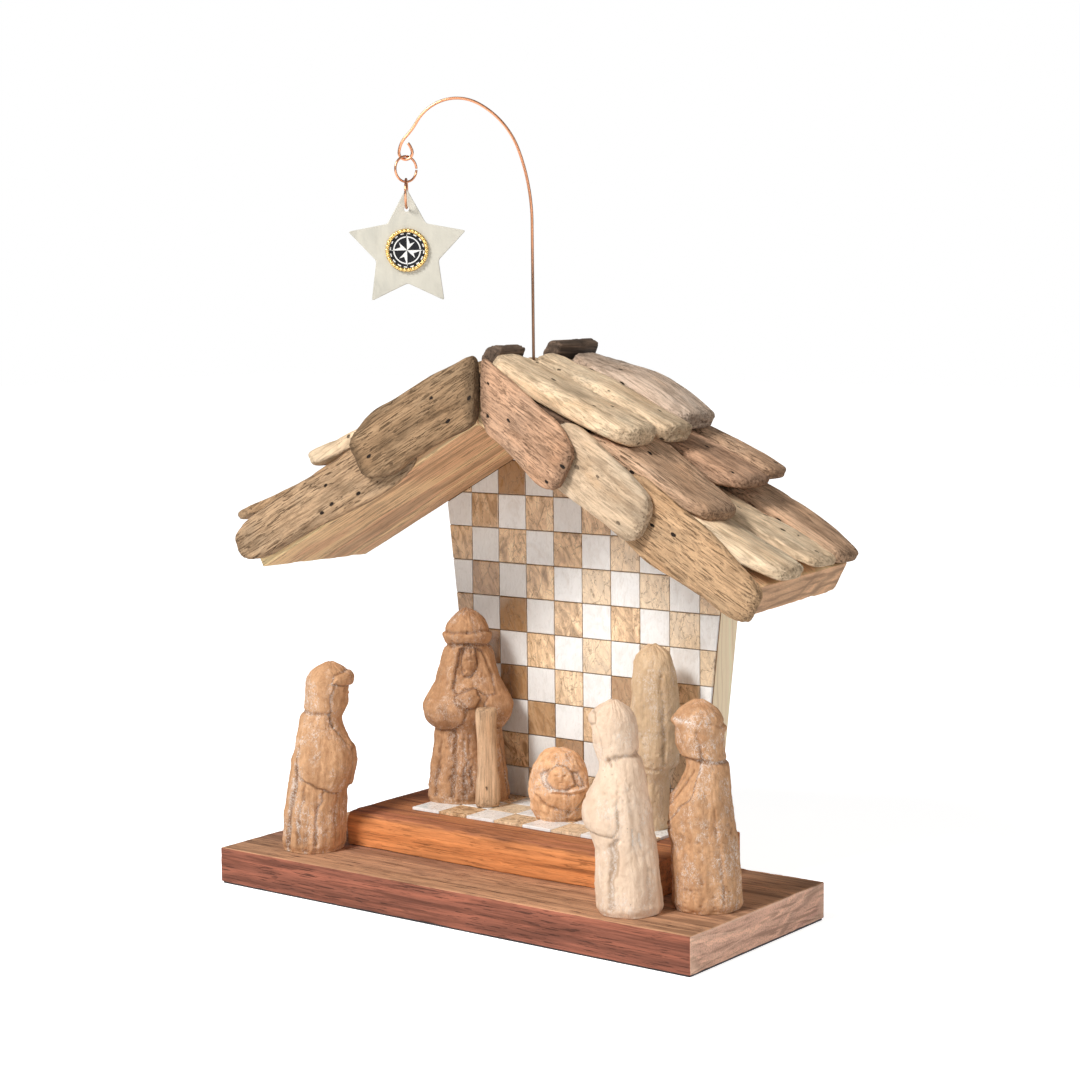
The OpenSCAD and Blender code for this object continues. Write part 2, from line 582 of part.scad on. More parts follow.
// Carved swellings: [height share, angle, size, height spread, angle spread]
wise_marks = [[0.47, 44, 0.13, 0.09, 24], [0.47, -44, 0.13, 0.09, 24], [0.5, 0, -0.12, 0.06, 10],
    [0.55, 0, 0.16, 0.02, 12], [0.905, 0, 0.05, 0.016, 120], [0.868, 0, -0.07, 0.014, 30],
    [0.84, 0, 0.16, 0.02, 9], [0.78, 0, 0.1, 0.03, 20], [0.8, 52, -0.09, 0.04, 12],
    [0.8, -52, -0.09, 0.04, 12], [0.7, 0, -0.08, 0.03, 50]];
father_marks = [[0.48, 62, 0.1, 0.07, 22], [0.49, -62, 0.14, 0.08, 24], [0.5, -28, 0.2, 0.06, 18],
    [0.59, -4, 0.24, 0.035, 11], [0.68, 0, -0.24, 0.11, 24], [0.78, 0, 0.1, 0.05, 16],
    [0.79, 0, 0.1, 0.018, 8], [0.35, 30, -0.1, 0.2, 12]];
mother_marks = [[0.5, 34, 0.12, 0.06, 22], [0.5, -34, 0.12, 0.06, 22], [0.83, 0, -0.1, 0.08, 26],
    [0.845, 0, 0.14, 0.02, 9], [0.79, 0, 0.05, 0.02, 14], [0.2, 30, -0.06, 0.2, 10]];
child_marks = [[0.6, 0, -0.2, 0.24, 34], [0.62, 0, 0.3, 0.13, 17], [0.3, 30, 0.06, 0.1, 30],
    [0.2, -50, 0.05, 0.1, 30]];

function wrap180(a) = (a + 540) % 360 - 180;
function swell(t, p, marks, k) = k == len(marks) ? 0
    : let (m = marks[k], dt = (t - m[0]) / m[3], dp = wrap180(p - m[1]) / m[4])
        m[2] * exp(-dt * dt - dp * dp) + swell(t, p, marks, k + 1);

module figure(h, side, front, back, lean, lean_by, marks, grooves, seed) {
    pts = [for (t = fig_level_share) for (i = [0:fig_n - 1])
        let (p = 360 * i / fig_n,
            fade = t < 0.6 ? 1 : t > 0.7 ? 0 : (0.7 - t) / 0.1,
            g = 1 + 0.022 * fade * sin(grooves * p + seed * 40) + swell(t, p, marks, 0),
            c = cos(p))
        [h * (lean_by * lookup(t, lean) + (c > 0 ? lookup(t, front) : lookup(t, back)) * c * g),
            h * lookup(t, side) * sin(p) * g, h * t]];
    loft(pts, fig_n, len(fig_level_share));
}

// Places beside the step, from its end and its front edge, as shares of wise_h. Places
// on the step: a share of its length, and of its depth in front of the back board.
wise_left_share = [0.106, -0.144];
wise_front_share = [0.01, -0.221];
wise_right_share = [0.27, 0.053];
joseph_share = [-0.3093, 0.288];
mary_share = [0.2819, 0.288];
child_share = [0.0302, 0.397];
staff_share = [0.203, -0.1012];
slim_share = [0.94, 0.94, 0.93];
step_front = board_y - step_d;
module stand(x, y, z, look) { translate([x, y, z]) rotate([0, 0, look]) children(); }
module by_step(side, at_share, look) {
    stand(step_shift + side * (step_w / 2 + at_share[0] * wise_h), step_front + at_share[1] * wise_h, base_top, look)
        children();
}
function floor_place(at_share) = [stable_shift + at_share[0] * step_w, board_y - at_share[1] * step_d];
function slim(table, k) = [for (r = table) [r[0], r[1] * k]];

module wise_left() {
    color("tan") by_step(-1, wise_left_share, 28)
        figure(wise_h, robe_side_share, robe_front_share, robe_back_share, robe_lean_share, 1.1, wise_marks, 7, 1);
}
module wise_front() {
    color("wheat") by_step(1, wise_front_share, 195)
        figure(wise_h * 1.01, slim(robe_side_share, slim_share[0]), slim(robe_front_share, slim_share[1]),
            slim(robe_back_share, slim_share[2]), robe_lean_share, 0.8, wise_marks, 6, 2);
}
module wise_right() {
    color("tan") by_step(1, wise_right_share, 205)
        figure(wise_h, robe_side_share, robe_front_share, robe_back_share, robe_lean_share, 0.45, wise_marks, 8, 3);
}
module joseph() {
    at = floor_place(joseph_share);
    color("tan") stand(at[0], at[1], floor_z, -47)
        figure(joseph_h, cloak_side_share, cloak_front_share, cloak_back_share, upright_lean_share, 1, father_marks, 6, 4);
}
module mary() {
    at = floor_place(mary_share);
    color("wheat") stand(at[0], at[1], floor_z, 188)
        figure(mary_h, veil_side_share, veil_front_share, veil_back_share, veil_lean_share, 1, mother_marks, 5, 5);
}
module child() {
    at = floor_place(child_share);
    color("tan") stand(at[0], at[1], floor_z, -52)
        figure(child_h, wrap_side_share, wrap_front_share, wrap_front_share, upright_lean_share, 1, child_marks, 5, 6);
}

// The staff: a flat stick of driftwood, [height share, half width share, half depth share]
staff_ring_share = [[0, 0.1, 0.06], [0.03, 0.11, 0.068], [0.2, 0.105, 0.07], [0.45, 0.112, 0.066],
    [0.7, 0.104, 0.07], [0.9, 0.11, 0.066], [0.985, 0.1, 0.06], [1, 0.085, 0.05]];
module joseph_staff() {
    n = 16;
    pts = [for (r = staff_ring_share) for (i = [0:n - 1])
        let (p = 360 * i / n)
        [staff_h * (r[2] * cos(p) + 0.01 * sin(r[0] * 300)), staff_h * (r[1] * sin(p)), staff_h * r[0]]];
    at = floor_place(joseph_share) + joseph_h * staff_share;
    color("wheat") stand(at[0], at[1], floor_z, -45) loft(pts, n, len(staff_ring_share));
}

base_plank();
base_felt();
step_plank();
back_board();
board_screws();
wall_tiles_pearl();
wall_tiles_amber();
floor_tiles_pearl();
floor_tiles_amber();
roof_board_left();
roof_board_right();
ridge_strip_left();
ridge_strip_right();
ridge_chip_front();
ridge_chip_back();
gable_drift_left_upper();
gable_drift_left_lower();
gable_drift_right_upper();
gable_drift_right_middle();
gable_drift_right_lower();
drift_right_low_1();
drift_right_low_2();
drift_right_low_3();
drift_right_mid_1();
drift_right_mid_2();
drift_right_mid_3();
drift_right_top_1();
drift_right_top_2();
drift_right_top_3();
drift_left_low_1();
drift_left_low_2();
drift_left_low_3();
drift_left_mid_1();
drift_left_mid_2();
drift_left_mid_3();
drift_left_top_1();
drift_left_top_2();
drift_left_top_3();
star_wire();
wire_ring();
star_link();
star();
star_rim();
star_medallion();
joseph();
joseph_staff();
mary();
child();
wise_left();
wise_front();
wise_right();
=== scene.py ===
"""Looks for a driftwood nativity stable: planks, shell tiles, driftwood roof, carved figures and a hanging star."""

import itertools
import math

import bpy
import numpy as np
from bpy.props import FloatProperty, FloatVectorProperty, IntProperty, PointerProperty
from mathutils import Matrix, Vector
from mathutils.geometry import tessellate_polygon


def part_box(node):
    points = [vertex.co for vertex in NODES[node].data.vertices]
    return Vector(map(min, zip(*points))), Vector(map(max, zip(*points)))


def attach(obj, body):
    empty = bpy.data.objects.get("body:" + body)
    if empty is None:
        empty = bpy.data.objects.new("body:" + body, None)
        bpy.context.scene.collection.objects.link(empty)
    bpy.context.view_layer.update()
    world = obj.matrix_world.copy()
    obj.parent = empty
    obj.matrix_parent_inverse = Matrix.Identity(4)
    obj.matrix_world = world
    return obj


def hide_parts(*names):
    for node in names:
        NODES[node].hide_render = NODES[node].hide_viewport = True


bl_info = {
    "name": "Driftwood stable",
    "version": (1, 0, 0),
    "blender": (4, 5, 0),
    "location": "3D View > Sidebar > Stable",
    "description": "Builds the looks of a driftwood nativity stable on its packed model",
    "category": "Add Mesh",
}

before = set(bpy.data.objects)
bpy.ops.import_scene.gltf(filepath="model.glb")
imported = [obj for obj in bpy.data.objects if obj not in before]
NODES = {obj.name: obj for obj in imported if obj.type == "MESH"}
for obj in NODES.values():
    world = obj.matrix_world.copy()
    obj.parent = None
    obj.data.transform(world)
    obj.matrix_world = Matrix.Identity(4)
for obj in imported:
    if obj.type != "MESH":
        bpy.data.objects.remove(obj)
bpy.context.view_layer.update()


def low(node):
    """Lowest corner of a node's box, in millimetres."""
    return np.array(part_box(node)[0]) * 1000


def high(node):
    """Highest corner of a node's box, in millimetres."""
    return np.array(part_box(node)[1]) * 1000


def length(name, text, default, most):
    """A length property in metres, shown as a distance."""
    return FloatProperty(name=name, description=text, default=default, min=0.0, max=most,
                         unit="LENGTH", subtype="DISTANCE", precision=4)


def angle(name, text, degrees, **limits):
    """An angle property, given in degrees and kept in radians."""
    return FloatProperty(name=name, description=text, default=math.radians(degrees),
                         unit="ROTATION", subtype="ANGLE", **limits)


def watts(name, text, default):
    """A lamp's power."""
    return FloatProperty(name=name, description=text, default=default, min=0.0, unit="POWER")


def share(name, text, default, most=1.0):
    """A plain number from 0 up."""
    return FloatProperty(name=name, description=text, default=default, min=0.0, max=most)


def colour(name, text, default):
    """A colour property without alpha."""
    return FloatVectorProperty(name=name, description=text, default=default, min=0.0, max=1.0, size=3,
        subtype="COLOR")


class StableSizes(bpy.types.PropertyGroup):
    """Sizes that the pieces are worked out from"""

    middle: length("Middle", "How far the roof's ridge stands right of the base's middle", 0.0036, 0.1)
    ridge: length("Ridge height", "Height of the ridge line under the roof boards", 0.2671, 1.0)
    pitch: angle("Roof pitch", "Slope of both roof boards", 28.4, min=0.1, max=1.0)
    roof_length: length("Roof length", "Length of a roof board down its slope", 0.187, 1.0)
    roof_thickness: length("Roof thickness", "Thickness of the roof boards", 0.0175, 0.1)
    roof_front: length("Roof front", "How far the roof's front stands ahead of the middle", 0.0295, 0.5)
    cover_depth: length("Cover depth", "Depth of roof that the driftwood rows cover", 0.112, 1.0)
    edge_wear: length("Edge wear", "Radius worn onto the planks' edges", 0.0008, 0.01)
    tile: length("Tile pitch", "Distance from one shell tile to the next", 0.02, 0.1)
    tile_gap: length("Tile gap", "Joint between two shell tiles", 0.0005, 0.01)


class StableColours(bpy.types.PropertyGroup):
    """Colours of the finishes"""

    red_plank: colour("Red plank", "Faded reddish brown of the base", (0.285, 0.097, 0.058))
    orange_plank: colour("Orange plank", "Warm orange brown of the step", (0.66, 0.238, 0.08))
    # Lighter than the boards' own brown, as painted light on their undersides; their sawn ends take a darker colour
    # in the roof boards' operator
    roof_board: colour("Roof board", "Brown of the roof boards", (0.87, 0.525, 0.29))
    pine: colour("Pine", "Cream of the back board", (1.0, 0.82, 0.57))
    pearl: colour("Pearl shell", "White of the pearl tiles", (0.86, 0.86, 0.84))
    amber: colour("Amber shell", "Gold brown of the amber tiles", (0.70, 0.48, 0.28))
    drift_pale: colour("Pale driftwood", "Yellow tan driftwood", (0.76, 0.57, 0.37))
    drift_tan: colour("Tan driftwood", "Middle tan driftwood", (0.54, 0.36, 0.21))
    drift_pink: colour("Pink driftwood", "Pinkish brown driftwood", (0.53, 0.33, 0.21))
    drift_dark: colour("Dark driftwood", "Olive brown driftwood", (0.30, 0.19, 0.105))
    carved: colour("Carved wood", "Tan of the carved figures", (0.58, 0.325, 0.17))
    carved_pale: colour("Pale carved wood", "Lighter tan of two of the figures", (0.80, 0.60, 0.44))
    wash: colour("White wash", "Traces of wash in the carving", (0.86, 0.80, 0.74))
    copper: colour("Copper", "Copper of the wire and loops", (0.72, 0.33, 0.18))
    gold: colour("Gold", "Gold of the star's rim", (0.83, 0.58, 0.22))
    ivory: colour("Ivory", "Pale face of the star", (0.56, 0.53, 0.45))


class StageSettings(bpy.types.PropertyGroup):
    """Camera, lamps and fineness"""

    azimuth: angle("Azimuth", "Camera's turn to the right of the front", 37.317)
    elevation: angle("Elevation", "Camera's height angle", 6.17)
    roll: angle("Roll", "Camera's tilt about its view", -0.628)
    place: FloatVectorProperty(name="Camera place", description="Where the camera stands",
                               default=(0.7801, -0.9941, 0.3384), size=3, unit="LENGTH", subtype="TRANSLATION")
    lens: FloatProperty(name="Lens", description="Focal length on a 36 mm sensor", default=77.38, min=10.0,
                        unit="CAMERA")
    key: watts("Key lamp", "Power of the large lamp above the front", 37.0)
    fill: watts("Side lamp", "Power of the lamp at the right end", 6.0)
    glow: watts("Low lamp", "Power of the low lamp that lights the roof from beneath", 5.0)
    sky: share("Surround", "Strength of the light from all round", 0.2, 2.0)
    floor_glow: share("Floor whiteness", "White that the floor adds where the camera sees it", 0.74)
    grid_steps: IntProperty(name="Fineness", description="Rows of points along a driftwood piece", default=150,
                            min=20, max=400)


def mm(value):
    """Metres to millimetres."""
    return value * 1000.0


def corner_value(i, j, k, seed):
    """Random value from 0 to 1 for whole-number corners: the three numbers are multiplied, added and shifted."""
    with np.errstate(over="ignore"):
        h = (i.astype(np.uint32) * np.uint32(374761393) + j.astype(np.uint32) * np.uint32(668265263)
             + k.astype(np.uint32) * np.uint32(2246822519) + np.uint32((int(seed) * 40503 + 977) & 0xFFFFFFFF))
        h = (h ^ (h >> np.uint32(13))) * np.uint32(1274126177)
        h = (h ^ (h >> np.uint32(16))) * np.uint32(2654435761)
        return (h ^ (h >> np.uint32(15))).astype(float) / 4294967295.0


def noise(p, seed):
    """Value noise from -1 to 1: the corner values of a point's cell, blended by a smooth step along each axis."""
    c = np.floor(p).astype(np.int64)
    f = p - c
    f = f * f * (3 - 2 * f)
    out = np.zeros(p.shape[:-1])
    for step in itertools.product((0, 1), repeat=3):
        wx, wy, wz = (f[..., a] if d else 1 - f[..., a] for a, d in enumerate(step))
        out += wx * wy * wz * corner_value(*(c[..., a] + d for a, d in enumerate(step)), seed)
    return out * 2 - 1


def layered(p, layers, seed):
    """Sum of noises, each twice as fine and half as strong as the one before."""
    return sum(noise(p * 2.0 ** k + 17.3 * k, seed + k) * 0.5 ** k for k in range(layers))


def pits(p, seed):
    """Distance to the nearest of the random points of which every unit cell has one."""
    c = np.floor(p).astype(np.int64)
    best = np.full(p.shape[:-1], 9.0)
    for step in itertools.product((-1, 0, 1), repeat=3):
        q = [c[..., a] + d for a, d in enumerate(step)]
        d = sum((q[a] + corner_value(*q, seed + 31 * a) - p[..., a]) ** 2 for a in range(3))
        best = np.minimum(best, d)
    return np.sqrt(best)


def smooth(edge0, edge1, x):
    """Smooth step from 0 at edge0 to 1 at edge1."""
    t = np.clip((x - edge0) / (edge1 - edge0), 0, 1)
    return t * t * (3 - 2 * t)


def power(v, e):
    """A number's size raised to e, with its sign kept."""
    return np.sign(v) * np.abs(v) ** e


def normals(P):
    """Unit normals of a grid closed along its columns: cross product of the steps along rows and columns."""
    a = np.gradient(P, axis=0)
    b = np.roll(P, -1, axis=1) - np.roll(P, 1, axis=1)
    n = np.cross(b, a)
    return n / np.maximum(np.linalg.norm(n, axis=-1, keepdims=True), 1e-9)


def outward(P):
    """Normals of a closed grid, turned to point away from each row's middle."""
    n = normals(P)
    side = np.einsum("ijk,ijk->", n, P - P.mean(axis=1, keepdims=True))
    return n if side > 0 else -n


def add_mesh(name, points, faces, data=None, smooth_faces=True):
    """A mesh object from points in millimetres, faces, and one list of values a point for each named attribute."""
    points = np.asarray(points, float)
    faces = [list(f) for f in faces]
    mesh = bpy.data.meshes.new(name)
    mesh.from_pydata((points * 0.001).tolist(), [], faces)
    mesh.update()
    mesh.calc_loop_triangles()
    tri = np.zeros(len(mesh.loop_triangles) * 3, np.int32)
    mesh.loop_triangles.foreach_get("vertices", tri)
    t = points[tri.reshape(-1, 3)]
    if np.einsum("ij,ij->", t[:, 0], np.cross(t[:, 1], t[:, 2])) < 0:
        mesh.flip_normals()
    for key, values in (data or {}).items():
        values = np.asarray(values, np.float32)
        kind = "FLOAT_VECTOR" if values.ndim == 2 else "FLOAT"
        layer = mesh.attributes.new(key, kind, "POINT")
        layer.data.foreach_set("vector" if kind == "FLOAT_VECTOR" else "value", values.ravel())
    mesh.polygons.foreach_set("use_smooth", [smooth_faces] * len(mesh.polygons))
    obj = bpy.data.objects.new(name, mesh)
    bpy.context.scene.collection.objects.link(obj)
    return obj


def grid_faces(rows, cols, around=False):
    """Four-sided faces of a grid of points whose columns join round, and whose rows join round too if asked."""
    i, j = np.meshgrid(np.arange(rows if around else rows - 1), np.arange(cols), indexing="ij")
    i, up, j, k = i * cols, (i + 1) % rows * cols, j, (j + 1) % cols
    return np.stack([i + j, i + k, up + k, up + j], axis=-1).reshape(-1, 4).tolist()


def skin(name, P, data=None):
    """A closed skin over a grid of points: each cell is a four-sided face, the columns join round, and each end is
    closed by triangles to its middle."""
    m, n = P.shape[:2]
    j = np.arange(n)
    k = (j + 1) % n
    first = np.stack([k, j, np.full(n, m * n)], axis=-1).tolist()
    last = np.stack([(m - 1) * n + j, (m - 1) * n + k, np.full(n, m * n + 1)], axis=-1).tolist()

    def flat(v):
        """A grid's values in one list, with the means of both ends at its end."""
        return np.concatenate([v.reshape(m * n, *v.shape[2:]), v[:1].mean(axis=1), v[-1:].mean(axis=1)])

    return add_mesh(name, flat(P), grid_faces(m, n) + first + last, {key: flat(v) for key, v in (data or {}).items()})


def join_parts(parts):
    """Points, faces and attributes of several grids put in one list."""
    points, faces, data, base = [], [], {}, 0
    for p, f, d in parts:
        points.append(p)
        faces += [[v + base for v in face] for face in f]
        for key, v in d.items():
            data.setdefault(key, []).append(v)
        base += len(p)
    return np.concatenate(points), faces, {k: np.concatenate(v) for k, v in data.items()}


def tube(path, radius, sides=16):
    """Grid of a round tube: at each point of the path a circle square to it, carried along without twisting."""
    step = np.gradient(path, axis=0)
    step /= np.linalg.norm(step, axis=1, keepdims=True)
    side = np.cross(step, (0.31, 0.87, 0.11))
    side /= np.linalg.norm(side, axis=1, keepdims=True)
    other = np.cross(step, side)
    turn = np.linspace(0, 2 * np.pi, sides, endpoint=False)[None, :, None]
    return path[:, None] + radius * (np.cos(turn) * side[:, None] + np.sin(turn) * other[:, None])


class Finish:
    """Builds a material's nodes. Each method adds nodes and gives the last one's output. Patterns run in millimetres
    on the object, or on the piece's own grain attribute, and are turned by the finish's own angles."""

    def __init__(self, name, grain=False, turn=None):
        self.mat = bpy.data.materials.new(name)
        self.mat.use_nodes = True
        self.tree = self.mat.node_tree
        self.shader = self.tree.nodes["Principled BSDF"]
        self.grain = grain
        self.turn = turn
        self.steps = 0

    def add(self, kind, **values):
        """A new node, set a little aside from the last one."""
        node = self.tree.nodes.new(kind)
        node.location = (-1800 + 60 * (self.steps % 26), 500 - 90 * (self.steps // 5))
        self.steps += 1
        for key, value in values.items():
            setattr(node, key, value)
        return node

    def put(self, socket, value):
        """Joins an output to an input, or sets the input's own number or colour."""
        if isinstance(value, bpy.types.NodeSocket):
            self.tree.links.new(value, socket)
        elif isinstance(value, (tuple, list)) and len(value) == 3 and socket.type == "RGBA":
            socket.default_value = (*value, 1)
        else:
            socket.default_value = value

    def place(self, scale=(1, 1, 1), turn=None):
        """Coordinates, turned and then scaled."""
        if self.grain:
            source, k = self.add("ShaderNodeAttribute", attribute_name="grain").outputs["Vector"], 1.0
        else:
            source, k = self.add("ShaderNodeTexCoord").outputs["Object"], 1000.0
        turn = turn or self.turn
        if turn:
            first = self.add("ShaderNodeMapping")
            self.put(first.inputs["Vector"], source)
            first.inputs["Rotation"].default_value = turn
            source = first.outputs[0]
        node = self.add("ShaderNodeMapping")
        self.put(node.inputs["Vector"], source)
        node.inputs["Scale"].default_value = [k * s for s in scale]
        return node.outputs[0]

    def split(self, vector):
        """The x, y and z of a vector."""
        node = self.add("ShaderNodeSeparateXYZ")
        self.put(node.inputs[0], vector)
        return node.outputs

    def attribute(self, name):
        """One number a point, kept with the mesh."""
        return self.add("ShaderNodeAttribute", attribute_name=name).outputs["Fac"]

    def noise(self, where, detail=4.0, rough=0.55, twist=0.0):
        """Cloudy noise at given coordinates, or at a given scale of the material's own."""
        if isinstance(where, tuple):
            where = self.place(where)
        node = self.add("ShaderNodeTexNoise")
        self.put(node.inputs["Vector"], where)
        for key, value in (("Scale", 1.0), ("Detail", detail), ("Roughness", rough), ("Distortion", twist)):
            node.inputs[key].default_value = value
        return node.outputs[0]

    def line_noise(self, along, size, detail):
        """Noise that changes with one number only."""
        node = self.add("ShaderNodeTexNoise", noise_dimensions="1D")
        self.put(node.inputs["W"], along)
        node.inputs["Scale"].default_value = size
        node.inputs["Detail"].default_value = detail
        return node.outputs[0]

    def cells(self, where, feature="F1"):
        """Distance to the nearest of scattered points, or to the edge of its cell."""
        if isinstance(where, tuple):
            where = self.place(where)
        node = self.add("ShaderNodeTexVoronoi", feature=feature)
        self.put(node.inputs["Vector"], where)
        node.inputs["Scale"].default_value = 1.0
        return node.outputs[0]

    def shifted(self, where, by):
        """Coordinates moved by a number or a vector."""
        node = self.add("ShaderNodeVectorMath", operation="ADD")
        self.put(node.inputs[0], where)
        self.put(node.inputs[1], by)
        return node.outputs[0]

    def maths(self, kind, *values):
        """A sum, a product or another step of reckoning."""
        node = self.add("ShaderNodeMath", operation=kind)
        for socket, value in zip(node.inputs, values):
            self.put(socket, value)
        return node.outputs[0]

    def times(self, a, b):
        """The product of two values."""
        return self.maths("MULTIPLY", a, b)

    def rest(self, value):
        """What a value leaves of one."""
        return self.maths("SUBTRACT", 1.0, value)

    def between(self, value, start, end, low=0.0, high=1.0):
        """Smooth change from low to high as the value goes from start to end."""
        node = self.add("ShaderNodeMapRange", interpolation_type="SMOOTHSTEP")
        self.put(node.inputs["Value"], value)
        for key, v in (("From Min", start), ("From Max", end), ("To Min", low), ("To Max", high)):
            node.inputs[key].default_value = v
        return node.outputs[0]

    def ramp(self, value, stops):
        """Colours at given places from 0 to 1."""
        node = self.add("ShaderNodeValToRGB")
        self.put(node.inputs[0], value)
        ends = node.color_ramp.elements
        for i, (at, col) in enumerate(stops):
            e = ends[i] if i < 2 else ends.new(at)
            e.position = at
            e.color = (*col, 1)
        return node.outputs[0]

    def mix(self, share, a, b):
        """A colour between a and b, b at a share of 1."""
        node = self.add("ShaderNodeMix", data_type="RGBA")
        for index, value in ((0, share), (6, a), (7, b)):
            self.put(node.inputs[index], value)
        return node.outputs[2]

    def layer(self, tone, value, start, end, share, col):
        """A colour laid over the tone, up to a share, as the value goes from start to end."""
        return self.mix(self.between(value, start, end, 0.0, share), tone, col)

    def layers(self, tone, each):
        """Layers laid one after another."""
        for value, start, end, most, col in each:
            tone = self.layer(tone, value, start, end, most, col)
        return tone

    def bump(self, *heights):
        """Bumps on bumps: each entry is a height and its depth in millimetres."""
        last = None
        for value, dist in heights:
            node = self.add("ShaderNodeBump")
            node.inputs["Strength"].default_value = 1.0
            node.inputs["Distance"].default_value = dist * 0.001
            self.put(node.inputs["Height"], value)
            if last:
                self.put(node.inputs["Normal"], last)
            last = node.outputs[0]
        self.put(self.shader.inputs["Normal"], last)

    def done(self, base, rough, **inputs):
        """Joins the colour and the other inputs to the shader and gives the material."""
        self.put(self.shader.inputs["Base Color"], base)
        self.put(self.shader.inputs["Roughness"], rough)
        for key, value in inputs.items():
            self.put(self.shader.inputs[key.replace("_", " ")], value)
        return self.mat


def tint(col, k, warm=0.0):
    """A colour made lighter or darker by k, and warmer by raising red and lowering blue."""
    return (min(col[0] * k * (1 + warm), 1), min(col[1] * k, 1), min(col[2] * k * (1 - warm), 1))


def dress(obj, mat):
    """Puts one material on an object."""
    obj.data.materials.clear()
    obj.data.materials.append(mat)


def settle(obj, mat, node, body="stable"):
    """Gives a piece its material. It rides on a body and replaces a node, which it hides."""
    dress(obj, mat)
    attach(obj, body)
    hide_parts(node)


def plank_wood(name, col, streak, ring, pore, turn=None, contrast=1.0, spread=0.12, top=None, end=None):
    """Sawn plank: growth rings round a line outside the plank, streaks and thin dark dashes along it, and paler worn
    edges. The top and the sawn ends can take other colours, picked out by the faces' normals: partly their own tone
    and partly painted light and shade for how the light falls on those faces."""
    f = Finish(name, turn=turn)
    c = contrast
    facing = f.split(f.add("ShaderNodeNewGeometry").outputs["Normal"])
    # Upward faces and sawn ends, found from the normals, take their own colours, which hold painted light
    above = f.between(facing[2], 0.55, 0.85) if top else 0.0
    beside = f.between(f.maths("ABSOLUTE", facing[0]), 0.6, 0.85) if end else 0.0

    def shade(k, warm=0.0):
        """The plank's colour made lighter or darker, with its top and ends in their own colours, which hold painted
        light.
        """
        side = f.mix(above, tint(col, k, warm), tint(top, k, warm)) if top else tint(col, k, warm)
        return f.mix(beside, side, tint(end, k, warm)) if end else side

    _, y, z = f.split(f.place())
    warp = f.noise((0.006, 0.02, 0.02), 3)
    y = f.maths("ADD", y, ring[0])
    z = f.maths("ADD", z, ring[1])
    far = f.maths("SQRT", f.maths("ADD", f.times(y, y), f.times(z, z)))
    far = f.maths("ADD", far, f.times(warp, 26.0))
    rings = f.line_noise(far, spread, 5)
    wide = f.line_noise(far, spread * 0.22, 2)
    fibre = f.noise((0.03, 1.1, 1.1), 5, 0.65)
    long = f.noise((0.009, 0.2, 0.2), 5, 0.6, 0.4)
    if end:
        cross = f.noise((0.3, 0.03, 0.35), 4, 0.6, 0.3)
        long = f.maths("ADD", long, f.times(f.maths("SUBTRACT", cross, long), beside))
    blotch = f.noise((0.012, 0.03, 0.03), 4, 0.6)
    tone = f.layers(shade(1.0), (
        (rings, 0.5, 0.28, 0.75 * c, shade(0.58)),
        (rings, 0.52, 0.72, 0.7 * c, shade(1.42, 0.03)),
        (wide, 0.44, 0.66, 0.6, streak),
        (long, 0.5, 0.38, 0.75 * c, shade(0.48, 0.05)),
        (long, 0.54, 0.68, 0.5 * c, shade(1.45)),
        (fibre, 0.45, 0.66, 0.5 * c, shade(0.42)),
        (blotch, 0.5, 0.75, 0.4, shade(1.32)),
    ))
    dash = f.noise((0.06, 1.2, 1.2), 3, 0.6, 0.3)
    group = f.between(f.noise((0.02, 0.09, 0.09), 3), 0.36, 0.54, 0.3, 1.0)
    dash = f.times(f.between(dash, 0.56, 0.64), group)
    if end:
        dash = f.times(dash, f.rest(f.times(beside, 0.8)))
    tone = f.mix(f.times(dash, pore), tone, tint(col, 0.2, 0.1))
    worn = f.times(f.attribute("wear"), f.between(blotch, 0.3, 0.6))
    tone = f.mix(f.times(worn, 0.5), tone, shade(1.6))
    f.bump((rings, 0.12), (long, 0.3), (fibre, 0.18), (f.rest(dash), 0.2))
    return f.done(tone, f.between(fibre, 0.2, 0.8, 0.62, 0.82), Specular_IOR_Level=0.3)


